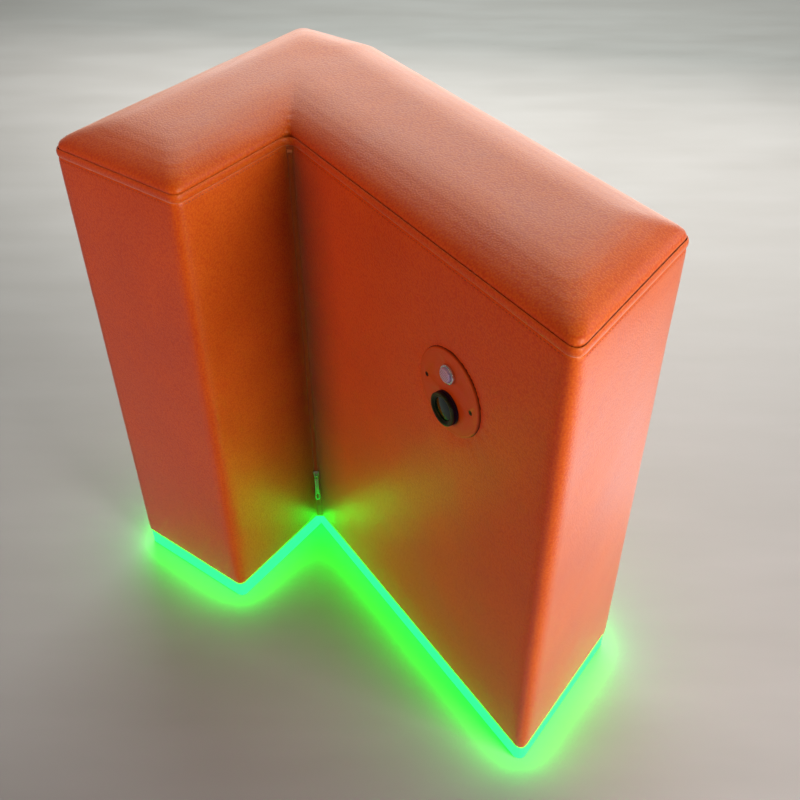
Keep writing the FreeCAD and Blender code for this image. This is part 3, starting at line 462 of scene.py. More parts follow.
@dataclass(frozen=True)
class Finish:
    """A hard or technical surface: two close colours, one pattern and a range of roughness.

    scale_mm is the real size of one dimple, thread, cell or crystal, and depth_mm its relief.
    """

    name: str
    light: str
    dark: str
    pattern: Pattern
    scale_mm: float
    depth_mm: float
    roughness: tuple[float, float]
    metallic: float = 0.0
    ior: float = 1.5
    stretch: tuple[float, float, float] = (1, 1, 1)
    coat: float = 0.0
    sheen: float = 0.0

    def texture(self, tree: bpy.types.NodeTree) -> bpy.types.NodeSocket:
        """Build the pattern and return the socket that carries it, from 0 to 1."""
        place = add_node(tree, "ShaderNodeTexCoord").outputs["Object"]
        scale = [share / (self.scale_mm * MM) for share in self.stretch]
        place = add_node(tree, "ShaderNodeMapping", {"Vector": place, "Scale": scale}).outputs[0]
        if self.pattern in (Pattern.SPANGLE, Pattern.FOAM):
            look = {"feature": "F1" if self.pattern is Pattern.FOAM else "SMOOTH_F1"}
            cells = add_node(tree, "ShaderNodeTexVoronoi", {"Vector": place, "Scale": 1.0}, **look)
            return cells.outputs["Distance" if self.pattern is Pattern.FOAM else "Color"]
        if self.pattern is Pattern.WOVEN:
            waves = []
            for axis in ("X", "Z"):
                thread = {"Vector": place, "Scale": 0.5, "Distortion": 0.3}
                wave = add_node(tree, "ShaderNodeTexWave", thread, bands_direction=axis)
                waves.append(wave.outputs["Fac"])
            cross = {0: waves[0], 1: waves[1]}
            return add_node(tree, "ShaderNodeMath", cross, operation="MULTIPLY").outputs[0]
        detail = {Pattern.WOOD: 6.0, Pattern.BRUSHED: 4.0}.get(self.pattern, 2.0)
        bend = 1.2 if self.pattern is Pattern.WOOD else 0.0
        grain = {"Vector": place, "Scale": 1.0, "Detail": detail, "Distortion": bend}
        return add_node(tree, "ShaderNodeTexNoise", grain).outputs["Fac"]

    def material(self) -> bpy.types.Material:
        """Build the material.

        Returns:
            A new material with this finish's name.
        """
        made, tree, shader = new_material(self.name)
        fine = self.texture(tree)
        place = add_node(tree, "ShaderNodeTexCoord").outputs["Object"]
        cloud = {"Vector": place, "Scale": 9.0, "Detail": 3.0}
        broad = add_node(tree, "ShaderNodeTexNoise", cloud).outputs["Fac"]
        both = add_node(tree, "ShaderNodeMix", {"Factor": 0.35, "A": fine, "B": broad}).outputs[0]
        hue = add_node(tree, "ShaderNodeValToRGB", {"Fac": both})
        for end, colour, spot in ((0, self.dark, 0.25), (1, self.light, 0.75)):
            hue.color_ramp.elements[end].color = linear(colour)
            hue.color_ramp.elements[end].position = spot
        tree.links.new(hue.outputs[0], shader.inputs["Base Color"])
        span = {"Value": both, "To Min": self.roughness[0], "To Max": self.roughness[1]}
        rough = add_node(tree, "ShaderNodeMapRange", span)
        tree.links.new(rough.outputs[0], shader.inputs["Roughness"])
        relief = {"Height": fine, "Distance": self.depth_mm * MM, "Strength": 1.0}
        tree.links.new(add_node(tree, "ShaderNodeBump", relief).outputs[0], shader.inputs["Normal"])
        shader.inputs["Metallic"].default_value = self.metallic
        if self.metallic < 0.5:
            shader.inputs["IOR"].default_value = self.ior
        shader.inputs["Coat Weight"].default_value = self.coat
        shader.inputs["Sheen Weight"].default_value = self.sheen
        return made


@dataclass(frozen=True)
class PebbledLeather:
    """Upholstery cowhide, drum-dyed, embossed with a pebble grain and given a satin top coat.

    The pebbles break the highlights into small flecks and the top coat gives a pale bloom
    where the light grazes. A real pebble is about 2 mm; it is drawn at 3.4 mm so it shows.
    """

    name: str = "orange_pebbled_leather"
    light: str = "#DE6A0A"
    dark: str = "#CC5806"
    worn: str = "#E6842C"
    # valley is painted shade: a pale colour multiplied into the hollows between the pebbles
    valley: str = "#ECC098"
    pebble_mm: float = 3.4
    pore_mm: float = 0.9
    cloud_mm: float = 160.0
    warp_mm: float = 8.0
    warp_reach_mm: float = 2.2
    pebble_depth_mm: float = 0.20
    pore_depth_mm: float = 0.05
    roughness: tuple[float, float] = (0.36, 0.56)
    sheen: float = 0.8
    sheen_tint: str = "#FFECE2"
    sheen_roughness: float = 0.35
    ior: float = 1.38

    def material(self) -> bpy.types.Material:
        """Build the leather.

        Returns:
            The material.
        """
        made, tree, shader = new_material(self.name)
        place = add_node(tree, "ShaderNodeTexCoord").outputs["Object"]
        warp = {"Vector": place, "Scale": 1 / (self.warp_mm * MM), "Detail": 2.0}
        warp = add_node(tree, "ShaderNodeTexNoise", warp).outputs["Color"]
        shift = {0: warp, "Scale": self.warp_reach_mm * MM}
        shift = add_node(tree, "ShaderNodeVectorMath", shift, operation="SCALE").outputs[0]
        bent = {0: place, 1: shift}
        bent = add_node(tree, "ShaderNodeVectorMath", bent, operation="ADD").outputs[0]
        pebble = {"Vector": bent, "Scale": 1 / (self.pebble_mm * MM), "Smoothness": 0.6}
        pebble = add_node(tree, "ShaderNodeTexVoronoi", pebble, feature="SMOOTH_F1").outputs["Distance"]
        pore = {"Vector": bent, "Scale": 1 / (self.pore_mm * MM), "Detail": 2.0}
        pore = add_node(tree, "ShaderNodeTexNoise", pore).outputs["Fac"]
        cloud = {"Vector": place, "Scale": 1 / (self.cloud_mm * MM), "Detail": 4.0, "Roughness": 0.6}
        cloud = add_node(tree, "ShaderNodeTexNoise", cloud).outputs["Fac"]
        valley = {"Value": pebble, "From Min": 0.15, "From Max": 0.75, "To Min": 0.0, "To Max": 1.0}
        valley = add_node(tree, "ShaderNodeMapRange", valley).outputs[0]
        dye = add_node(tree, "ShaderNodeValToRGB", {"Fac": cloud})
        for end, colour, spot in ((0, self.dark, 0.2), (1, self.light, 0.8)):
            dye.color_ramp.elements[end].color = linear(colour)
            dye.color_ramp.elements[end].position = spot
        # Painted shade: the pebble grain's valleys are darkened by multiplying a pale colour into the
        # dye.
        shade = {0: valley, 6: dye.outputs[0], 7: linear(self.valley)}
        painted_valley_shade = add_node(tree, "ShaderNodeMix", shade, data_type="RGBA", blend_type="MULTIPLY")
        edge = add_node(tree, "ShaderNodeNewGeometry").outputs["Pointiness"]
        rubbed = {"Value": edge, "From Min": 0.52, "From Max": 0.6, "To Min": 0.0, "To Max": 0.35}
        rubbed = add_node(tree, "ShaderNodeMapRange", rubbed).outputs[0]
        rub = {0: rubbed, 6: painted_valley_shade.outputs[2], 7: linear(self.worn)}
        wear = add_node(tree, "ShaderNodeMix", rub, data_type="RGBA")
        tree.links.new(wear.outputs[2], shader.inputs["Base Color"])
        span = {"Value": cloud, "To Min": self.roughness[0], "To Max": self.roughness[1]}
        rough = add_node(tree, "ShaderNodeMapRange", span).outputs[0]
        tree.links.new(rough, shader.inputs["Roughness"])
        dip = add_node(tree, "ShaderNodeMath", {0: 1.0, 1: valley}, operation="SUBTRACT").outputs[0]
        deep = {"Height": dip, "Distance": self.pebble_depth_mm * MM, "Strength": 1.0}
        deep = add_node(tree, "ShaderNodeBump", deep).outputs[0]
        fine = {"Height": pore, "Distance": self.pore_depth_mm * MM, "Strength": 1.0, "Normal": deep}
        tree.links.new(add_node(tree, "ShaderNodeBump", fine).outputs[0], shader.inputs["Normal"])
        shader.inputs["IOR"].default_value = self.ior
        shader.inputs["Sheen Weight"].default_value = self.sheen
        shader.inputs["Sheen Roughness"].default_value = self.sheen_roughness
        shader.inputs["Sheen Tint"].default_value = linear(self.sheen_tint)
        return made


@dataclass(frozen=True)
class CoatedGlass:
    """Optical glass with a multi-layer coating and a tinted reflection: its dark green colour is a
    painted reflection.
    """

    name: str = "coated_glass_painted_green_reflection"
    # body and tint are dark greens: a painted reflection of the green light band in the glass.
    body: str = "#0A1E06"
    tint: str = "#0C2C0A"

    def material(self) -> bpy.types.Material:
        """Build the glass, its painted green reflection blended from its centre outwards by how it
        faces.
        """
        made, tree, shader = new_material(self.name)
        facing = add_node(tree, "ShaderNodeLayerWeight", {"Blend": 0.4}).outputs["Facing"]
        place = add_node(tree, "ShaderNodeTexCoord").outputs["Object"]
        dust = {"Vector": place, "Scale": 1 / (3 * MM), "Detail": 3.0}
        dust = add_node(tree, "ShaderNodeTexNoise", dust).outputs["Fac"]
        film = {0: facing, 6: linear(self.body), 7: linear(self.tint)}
        film = add_node(tree, "ShaderNodeMix", film, data_type="RGBA")
        tree.links.new(film.outputs[2], shader.inputs["Base Color"])
        haze = {"Value": dust, "To Min": 0.02, "To Max": 0.09}
        rough = add_node(tree, "ShaderNodeMapRange", haze).outputs[0]
        tree.links.new(rough, shader.inputs["Roughness"])
        shader.inputs["IOR"].default_value = 1.45
        shader.inputs["Coat Weight"].default_value = 0.25
        shader.inputs["Coat Roughness"].default_value = 0.02
        shader.inputs["Coat Tint"].default_value = linear("#9CFFB8")
        shader.inputs["Specular Tint"].default_value = linear("#B49CFF")
        return made


@dataclass(frozen=True)
class GlowingSilicone:
    """Extruded milky silicone over a strip of green lamps: even, a little brighter at each lamp."""

    name: str = "glowing_silicone"
    skin: str = "#1E6B40"
    core: str = "#09FF2D"
    power: float = 13.0
    lamp_pitch_mm: float = 16.7

    def material(self) -> bpy.types.Material:
        """Build the light."""
        made, tree, shader = new_material(self.name)
        place = add_node(tree, "ShaderNodeTexCoord").outputs["Object"]
        lamps = {"Vector": place, "Scale": 1 / (self.lamp_pitch_mm * MM), "Detail": 1.0}
        lamps = add_node(tree, "ShaderNodeTexNoise", lamps).outputs["Fac"]
        span = {"Value": lamps, "To Min": self.power * 0.9, "To Max": self.power * 1.1}
        power = add_node(tree, "ShaderNodeMapRange", span).outputs[0]
        tree.links.new(power, shader.inputs["Emission Strength"])
        shader.inputs["Base Color"].default_value = linear(self.skin)
        shader.inputs["Emission Color"].default_value = linear(self.core)
        shader.inputs["Roughness"].default_value = 0.45
        shader.inputs["Subsurface Weight"].default_value = 0.2
        return made


LEATHER = PebbledLeather()
# Bonded polyester thread: matt twisted strands that read a shade darker than the hide.
THREAD = Finish("bonded_thread", "#B4501C", "#7A2C0C", Pattern.WOVEN, 0.4, 0.04, (0.5, 0.65), sheen=0.3)
# Baked enamel on steel: an even satin orange with a faint orange peel.
ENAMEL = Finish("orange_enamel", "#CC5C0C", "#BC4C0A", Pattern.CAST, 1.6, 0.02, (0.44, 0.54), coat=0.06)
# Brushed chrome plate: a cool, soft highlight round the button.
CHROME = Finish("satin_chrome", "#E6E6EC", "#C4C4CE", Pattern.BRUSHED, 0.5, 0.01, (0.14, 0.26), 1.0)
# Aluminium cap, satin, with little mirror: its pale lilac is a painted reflection of the room.
CAP_METAL = Finish(
    "cap_painted_lilac_reflection", "#D0CAFF", "#B2AAF4",
    Pattern.CAST, 0.4, 0.01, (0.3, 0.4), 0.35,
)
# Black anodised aluminium, nearly black: its blue cast is a painted reflection, the same all round.
BLACK_ALLOY = Finish(
    "black_alloy_painted_blue_reflection", "#10144C", "#080A30",
    Pattern.CAST, 0.3, 0.01, (0.3, 0.42), 0.35,
)
# Lens rim: black, with a green cast painted into its colour as a reflection of the light band.
RIM_ALLOY = Finish(
    "black_rim_painted_green_reflection", "#123008", "#0A2006",
    Pattern.CAST, 0.3, 0.01, (0.3, 0.42), 0.35,
)
# Nickel-plated die-cast zinc: bright and slightly warm.
ZIP_METAL = Finish(
    "nickel_plated_zinc", "#D2CEC4", "#A8A49A",
    Pattern.CAST, 0.8, 0.02, (0.2, 0.34), 1.0,
)
# Moulded nylon coil: dyed near the leather and smooth.
ZIP_COIL = Finish("orange_nylon_coil", "#FFA45C", "#F4883C", Pattern.CAST, 0.5, 0.02, (0.3, 0.42))
# Woven polyester tape: 0.7 mm threads and no gloss.
ZIP_TAPE = Finish(
    "woven_zip_tape", "#E87C34", "#CC5C1C",
    Pattern.WOVEN, 0.7, 0.12, (0.7, 0.85), sheen=0.4,
)
# Moulded rubber gasket: a dull dark line, its dark brown partly painted shade standing in for the
# shadow gap round the plate.
RUBBER = Finish("rubber_painted_shadow_gap", "#4A200E", "#331408", Pattern.CAST, 0.6, 0.03, (0.6, 0.75))
# Moulded black nylon: an even, fine matt texture.
NYLON = Finish("black_moulded_nylon", "#1C1C1E", "#0E0E10", Pattern.CAST, 0.7, 0.05, (0.42, 0.56))
# Moulded black ABS case: slightly coarser than the nylon.
MOULDING = Finish("black_abs_case", "#222224", "#121214", Pattern.CAST, 0.9, 0.06, (0.45, 0.6))
# Blackened steel screws: dark, with a small hot highlight.
DARK_STEEL = Finish("blackened_steel", "#3A1C14", "#1E0D0A", Pattern.CAST, 0.4, 0.02, (0.3, 0.45), 0.8)
# Drawn spring wire and strip: cool grey along the wire.
SPRING_STEEL = Finish(
    "spring_steel", "#A8A8AC", "#808086",
    Pattern.BRUSHED, 0.3, 0.01, (0.25, 0.4), 1.0,
)
# Turned brass inserts: warm, with fine turning lines.
BRASS = Finish("turned_brass", "#D8B060", "#B08838", Pattern.BRUSHED, 0.3, 0.02, (0.25, 0.4), 1.0)
# Anodised extruded aluminium: long fine lines.
ALLOY = Finish(
    "anodised_aluminium", "#C8CACE", "#A8AAB0",
    Pattern.BRUSHED, 0.6, 0.02, (0.3, 0.45), 1.0, stretch=(0.1, 0.1, 1),
)
# Galvanised sheet steel: flat crystals of 9 mm.
ZINC_STEEL = Finish(
    "galvanised_steel", "#B4B8BC", "#8C9096",
    Pattern.SPANGLE, 9.0, 0.02, (0.35, 0.55), 0.9,
)
# Flexible circuit board: white, matt and ridged at each lamp.
CIRCUIT = Finish("white_flexible_circuit", "#F2F2EC", "#D8D4C0", Pattern.WOVEN, 8.0, 0.1, (0.4, 0.6))
# Cut upholstery foam: open cells, drawn larger than they are so they show.
FOAM = Finish("upholstery_foam", "#EFE6C8", "#CDBF92", Pattern.FOAM, 0.9, 0.4, (0.85, 0.95), sheen=0.3)
# Birch plywood: pale, with grain along the board.
PLYWOOD = Finish(
    "birch_plywood", "#E2C797", "#C09C66",
    Pattern.WOOD, 14.0, 0.1, (0.5, 0.7), stretch=(1, 1, 0.12),
)
# Planed pine: stronger grain and warmer than the plywood.
PINE = Finish(
    "planed_pine", "#E4C48C", "#C08F52",
    Pattern.WOOD, 9.0, 0.12, (0.5, 0.68), stretch=(1, 1, 0.08),
)
GLASS = CoatedGlass()
GLOW = GlowingSilicone()

CAD_FINISHES = {
    "foot_glides": NYLON,
    "plinth_rails": PINE,
    "light_rails": ALLOY,
    "light_strip": CIRCUIT,
    "light_diffuser": GLOW,
    "base_board": PLYWOOD,
    "top_board": PLYWOOD,
    "middle_stiffener": PLYWOOD,
    "corner_posts": PINE,
    "plate_gasket": RUBBER,
    "plate_screws": DARK_STEEL,
    "plate_spacers": NYLON,
    "plate_inserts": BRASS,
    "inner_lenses": GLASS,
    "camera_body": MOULDING,
    "camera_bracket": ZINC_STEEL,
    "lens_lock_ring": BLACK_ALLOY,
    "button_clip": SPRING_STEEL,
    "button_nut": NYLON,
    "button_switch": MOULDING,
    "button_spring": SPRING_STEEL,
    "gland_nut": NYLON,
    "controller": ZINC_STEEL,
    "power_supply": ZINC_STEEL,
}
MADE: dict[str, bpy.types.Material] = {}
AnyFinish = Finish | PebbledLeather | CoatedGlass | GlowingSilicone


def dress(piece: bpy.types.Object, finish: AnyFinish) -> None:
    """Give a piece a finish, building its material the first time."""
    if finish.name not in MADE:
        MADE[finish.name] = finish.material()
    piece.data.materials.clear()
    piece.data.materials.append(MADE[finish.name])


def hand_over(piece: bpy.types.Object, body: str, slot: str, *stands_for: str) -> None:
    """Attach a piece to the body it rides on and hide the CAD nodes it stands for."""
    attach(piece, body)
    if stands_for:
        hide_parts(*stands_for)
    LOG.info("%s: %d faces on %s", piece.name, len(piece.data.polygons), body)


# ---------------------------------------------------------------- plan of the walls


@dataclass(frozen=True)
class Plan:
    """The V-shaped plan and the heights that the walls, zip and plate are placed by."""

    left_inner: float = 0.283
    right_inner: float = 0.779
    left_width: float = 0.309
    right_width: float = 0.340
    corner_face: float = 0.210
    wing_angle: float = math.radians(70)
    corner_radius: float = 0.018
    leather: float = 0.002
    zip_half: float = 0.006
    base_z: float = 0.045
    seam_z: float = 1.029
    crease_z: float = 1.045
    plate_along: float = 0.508
    plate_z: float = 0.792
    power_z: float = 0.135
    gland_offset: float = 0.018
    switch_offset: float = -0.035

    @property
    def half(self) -> float:
        """Half of the angle between the wings."""
        return self.wing_angle / 2

    @property
    def zip_out(self) -> float:
        """How far in front of the inner corner the zip's tape lies."""
        return self.zip_half / math.tan(self.half)

    @property
    def corners(self) -> dict[str, Vector]:
        """The seven corners of the leather in plan, from a to g."""
        low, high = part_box("zip_chain")
        sin, cos = math.sin(self.half), math.cos(self.half)
        c = Vector(((low.x + high.x) / 2, high.y + self.zip_out))
        b = c + Vector((-sin, -cos)) * self.left_inner
        a = b + Vector((-cos, sin)) * self.left_width
        d = c + Vector((sin, -cos)) * self.right_inner
        e = d + Vector((sin, cos)) * self.right_width / math.sin(self.wing_angle)
        spare = (self.left_width - self.corner_face) * math.cos(self.wing_angle)
        back = (self.right_width + spare) / math.sin(self.wing_angle)
        g = c + Vector((-cos, sin)) * self.left_width + Vector((sin, cos)) * back
        f = g + Vector((cos, -sin)) * self.corner_face
        return dict(zip(CORNERS, (a, b, c, d, e, f, g)))

    def wall(self, face: str) -> tuple[Vector, Vector, Vector, float]:
        """Return a face's first corner, its direction, its outward normal and its length."""
        ends = self.corners
        run = ends[face[1]] - ends[face[0]]
        along = run.normalized()
        return ends[face[0]], along, Vector((along.y, -along.x)), run.length

    def on_face(self, face: str, along: float, up: float) -> Matrix:
        """Return the frame of a place on a face: X along it, Y up and Z outwards."""
        start, run, out, _ = self.wall(face)
        spot = start + run * along
        return Matrix(
            (
                (run.x, 0, out.x, spot.x),
                (run.y, 0, out.y, spot.y),
                (0, 1, 0, up),
                (0, 0, 0, 1),
            )
        )

    def turn(self, corner: str) -> float:
        """Return how far the outline turns at a corner, in radians."""
        spot = CORNERS.index(corner)
        before = self.wall(CORNERS[spot - 1] + corner)[1]
        after = self.wall(corner + CORNERS[(spot + 1) % len(CORNERS)])[1]
        return before.angle(after)


PLAN = Plan()
PLATE = PLAN.on_face("cd", PLAN.plate_along, PLAN.plate_z)


def round_corner(piece: bpy.types.Object, corner: str, segments: int = 7) -> None:
    """Round one upright corner of a wall to the plan's radius, in edit mode."""
    spot = PLAN.corners[corner]
    choose(piece, "EDGE", lambda edge: is_upright(edge) and (middle(edge).xy - spot).length < MM)
    reach = PLAN.corner_radius * math.tan(PLAN.turn(corner) / 2)
    bpy.ops.mesh.bevel(
        offset=reach, offset_type="OFFSET", segments=segments, profile=0.5, affect="EDGES"
    )


# ---------------------------------------------------------------- upholstery


@dataclass
class Upholstery:
    """The leather cover: a tight skirt over foam, a boxing band and a crowned top cushion."""

    row_bands: tuple[tuple[float, int], ...] = (
        (0.060, 4),
        (0.660, 34),
        (0.925, 52),
        (1.012, 6),
        (1.029, 9),
    )
    plate_span: float = 0.125
    plate_cuts: int = 49
    wall_step: float = 0.016
    pillow: float = 0.0022
    roll: float = 0.0020
    hole_radius: float = 0.0735
    stitch_pitch: float = 0.0075
    stitch_drop: float = 0.0045
    crown_voxel: float = 0.006
    crown_cap: float = 0.0026
    crown_pressure: float = 4.0
    crown_evening: int = 60
    crown_steps: int = 20
    crease_pull: float = 0.0019
    crease_fade: float = 0.0024
    tuck: float = 0.0030
    merge: float = 1e-5
    pillow_power: float = 0.6
    hem_fade: float = 0.08
    seam_fade: float = 0.05
    swell_depth: float = 0.0006
    swell_rate: float = 7.0
    grain_depth: float = 0.00025
    grain_rate: float = 24.0
    seam_reach: float = 0.0035
    hem_reach: float = 0.006
    hem_roll: float = 1.4
    pucker_edge: float = 0.081
    pucker_reach: float = 0.19
    pucker_count: int = 19
    pucker_depth: float = 0.0007
    pucker_fade: float = 0.026
    pucker_start: float = 0.006
    plate_dip: float = 0.0018
    dip_fade: float = 0.014
    under_plate: float = 0.0004
    fold_depth: float = 0.0011
    fold_fade: float = 0.05
    fold_reach: float = 0.12
    band_belly: float = 0.0010
    band_step: float = 0.008
    band_rows: int = 9
    band_thickness: float = 0.0018
    stitch_radius: float = 0.00042
    stitch_length: float = 0.0046
    stitch_bend: float = 0.0014
    stitch_dip: float = 0.00055
    stitch_sink: float = 0.00035

    def build(self) -> None:
        """Build every leather piece and hand it over."""
        skirt = self.skirt()
        band = self.band()
        crown = self.crown()
        stitches = self.stitches()
        for piece in (skirt, band, crown):
            dress(piece, LEATHER)
        dress(stitches, THREAD)
        hand_over(skirt, BOOTH, "orange_leather", "leather_skirt")
        hand_over(band, BOOTH, "orange_leather", "leather_band")
        hand_over(crown, BOOTH, "orange_leather", "leather_top", "top_foam")
        hand_over(stitches, BOOTH, "orange_leather")

    def skirt_outline(self) -> list[Vector]:
        """Return the skirt's open outline, from one side of the zip round to the other."""
        ends = PLAN.corners
        inset = PLAN.zip_half / math.sin(PLAN.half)
        first = ends["c"] + PLAN.wall("cd")[1] * inset
        last = ends["c"] - PLAN.wall("bc")[1] * inset
        return [first] + [ends[name] for name in "defgab"] + [last]

    def skirt(self) -> bpy.types.Object:
        """Build the skirt as one sheet of leather, puckered at its edges and round the plate.

        Returns:
            The closed, 2 mm thick piece with its openings cut.
        """
        piece = outline_piece("leather_skirt_cover", self.skirt_outline(), PLAN.base_z)
        height = PLAN.seam_z - PLAN.base_z
        with editing(piece):
            gap = (self.skirt_outline()[0] + self.skirt_outline()[-1]) / 2
            choose(piece, "EDGE", lambda edge: (middle(edge).xy - gap).length < MM)
            bpy.ops.mesh.delete(type="EDGE")
            select_everything()
            extrude((0, 0, height))
            for corner in "abdefg":
                round_corner(piece, corner)
            self.divide_walls(piece)
            self.divide_rows(piece)
            face_out()
        self.face_outwards(piece)
        self.soften_skirt(piece)
        add_modifier(piece, "SOLIDIFY", thickness=PLAN.leather, offset=-1.0, use_even_offset=True)
        self.cut_openings(piece)
        smooth(piece, 40)
        return piece

    def face_outwards(self, piece: bpy.types.Object) -> None:
        """Turn a sheet over if its normals point into the booth."""
        start, _, out, _ = PLAN.wall("cd")
        far = [face for face in piece.data.polygons if (face.center.xy - start).dot(out) > -MM]
        lean = sum(face.normal.xy.dot(out) for face in far if abs(face.normal.xy.dot(out)) > 0.9)
        if lean < 0:
            with editing(piece):
                select_everything()
                bpy.ops.mesh.flip_normals()

    def divide_walls(self, piece: bpy.types.Object) -> None:
        """Cut each flat wall into upright strips, finer beside the control plate."""
        for face in ("ab", "bc", "de", "ef", "fg", "ga"):
            self.divide_run(piece, face, 0, PLAN.wall(face)[3], self.wall_step)
        length = PLAN.wall("cd")[3]
        low, high = PLAN.plate_along - self.plate_span, PLAN.plate_along + self.plate_span
        for along in (low, high):
            self.slice_wall(piece, "cd", along)
        self.divide_run(piece, "cd", 0, low, self.wall_step)
        self.divide_run(piece, "cd", low, high, 2 * self.plate_span / self.plate_cuts)
        self.divide_run(piece, "cd", high, length, self.wall_step)

    def slice_wall(self, piece: bpy.types.Object, face: str, along: float) -> None:
        """Cut one wall with an upright plane."""
        start, run, out, _ = PLAN.wall(face)
        choose(piece, "FACE", lambda item: abs((middle(item).xy - start).dot(out)) < MM)
        spot = start + run * along
        bpy.ops.mesh.bisect(plane_co=(spot.x, spot.y, 0), plane_no=(run.x, run.y, 0))

    def divide_run(
        self, piece: bpy.types.Object, face: str, low: float, high: float, step: float
    ) -> None:
        """Subdivide the level edges of a wall between two distances along it."""
        start, run, out, _ = PLAN.wall(face)
        longest = 2 * step

        def level(edge: bmesh.types.BMEdge) -> bool:
            """Tell whether an edge is level, long and within the run."""
            spot = middle(edge).xy - start
            flat = abs(spot.dot(out)) < 0.1 * MM and not is_upright(edge)
            return flat and low < spot.dot(run) < high and edge.calc_length() > longest

        choose(piece, "EDGE", level)
        cuts = max(1, round((high - low) / step) - 1)
        bpy.ops.mesh.subdivide(number_cuts=cuts)

    def divide_rows(self, piece: bpy.types.Object) -> None:
        """Cut the walls into level rows, finer at the hem, the plate and the seam."""
        low = PLAN.base_z
        for high, rows in self.row_bands:
            for row in range(1, rows + 1):
                height = low + (high - low) * row / rows
                if height < PLAN.seam_z - MM:
                    slice_level(height)
            low = high

    def soften_skirt(self, piece: bpy.types.Object) -> None:
        """Give the tight leather its pillowed walls, rolled edges and the pull of the plate."""
        points = mesh_points(piece)
        normals = vertex_normals(piece)
        plate_inverse = PLATE.inverted()
        start, _, out, _ = PLAN.wall("cd")
        walls = [PLAN.wall(face) for face in FACES]
        corner = PLAN.corners["c"]
        for index, (spot, normal) in enumerate(zip(points, normals)):
            place = Vector(spot)
            push = 0.0
            for first, along, outward, span in walls:
                if abs((place.xy - first).dot(outward)) < 0.2 * MM:
                    share = min(max((place.xy - first).dot(along) / span, 0), 1)
                    push = max(push, self.pillow * (4 * share * (1 - share)) ** self.pillow_power)
            above_hem, below_seam = place.z - PLAN.base_z, PLAN.seam_z - place.z
            up = min(above_hem / self.hem_fade, below_seam / self.seam_fade, 1)
            push *= up
            push += self.swell_depth * noise.noise(place * self.swell_rate) * up
            push += self.grain_depth * noise.noise(place * self.grain_rate)
            push -= self.roll * math.exp(-below_seam / self.seam_reach)
            push -= self.hem_roll * self.roll * math.exp(-above_hem / self.hem_reach)
            if abs((place.xy - start).dot(out)) < 0.2 * MM:
                local = plate_inverse @ place
                reach = math.hypot(local.x, local.y)
                if reach < self.pucker_reach:
                    push += self.pucker(reach - self.pucker_edge, math.atan2(local.y, local.x))
            nearness = (place.xy - corner).length
            if nearness < self.fold_reach:
                fold = noise.noise(Vector((place.x * 6, place.y * 6, place.z * 22)))
                push += self.fold_depth * fold * math.exp(-nearness / self.fold_fade) * up
            points[index] = spot + normal * push
        set_points(piece, points)

    def pucker(self, reach: float, bearing: float) -> float:
        """Return how far the leather moves at a distance from the plate's edge.

        Args:
            reach: Distance outside the plate's rim; negative under it.
            bearing: Direction from the plate's centre, in radians.
        """
        if reach < 0:
            return -self.under_plate
        gather = noise.noise(Vector((math.cos(bearing) * 5.2, math.sin(bearing) * 5.2, 3.1)))
        ripple = math.sin(self.pucker_count * bearing + 3 * gather)
        dip = -self.plate_dip * math.exp(-reach / self.dip_fade)
        fade = math.exp(-reach / self.pucker_fade) * min(1, reach / self.pucker_start)
        return dip + self.pucker_depth * ripple * (0.4 + abs(gather)) * fade

    def cut_openings(self, piece: bpy.types.Object) -> None:
        """Cut the leather behind the control plate, the power switch and the cable gland."""
        middle_fg = PLAN.corner_face / 2
        cutters = [
            (PLATE, self.hole_radius, self.hole_radius, 64),
            (PLAN.on_face("fg", middle_fg + PLAN.gland_offset, PLAN.power_z), 0.0101, 0.0101, 32),
            (PLAN.on_face("fg", middle_fg + PLAN.switch_offset, PLAN.power_z), 0.0102, 0.0132, 4),
        ]
        for place, half_width, half_height, sides in cutters:
            tool = primitive("cylinder", "cutter", vertices=sides, radius=1, depth=0.04)
            with editing(tool):
                select_everything()
                square = math.sqrt(2) if sides == 4 else 1
                bpy.ops.transform.rotate(
                    value=math.pi / 4 if sides == 4 else 0.0, orient_axis="Z", center_override=(0, 0, 0)
                )
                stretch((half_width * square, half_height * square, 1))
            settle(tool, place)
            cut_away(piece, tool)

    def band(self) -> bpy.types.Object:
        """Build the narrow boxing band with a soft roll to its upper and lower seams."""
        corners = [PLAN.corners[name] for name in CORNERS]
        piece = outline_piece("leather_boxing_band", corners, PLAN.seam_z)
        height = PLAN.crease_z - PLAN.seam_z
        with editing(piece):
            select_everything()
            extrude((0, 0, height))
            for corner in CORNERS:
                round_corner(piece, corner)
            for face in FACES:
                self.divide_run(piece, face, 0, PLAN.wall(face)[3], self.band_step)
            for row in range(1, self.band_rows):
                select_everything()
                level = PLAN.seam_z + height * (1 - math.cos(math.pi * row / self.band_rows)) / 2
                bpy.ops.mesh.bisect(plane_co=(0, 0, level), plane_no=(0, 0, 1))
            face_out()
        self.face_outwards(piece)
        points = mesh_points(piece)
        normals = vertex_normals(piece)
        for index, (spot, normal) in enumerate(zip(points, normals)):
            share = (spot[2] - PLAN.seam_z) / height
            belly = math.sin(math.pi * min(max(share, 0), 1)) ** 0.5
            push = self.band_belly * belly - self.roll * (1 - belly)
            push += 0.0002 * noise.noise(Vector(spot) * 60)
            points[index] = spot + normal * push
        set_points(piece, points)
        sheet = {"thickness": self.band_thickness, "offset": -1.0, "use_even_offset": True}
        add_modifier(piece, "SOLIDIFY", **sheet)
        smooth(piece, 50)
        return piece

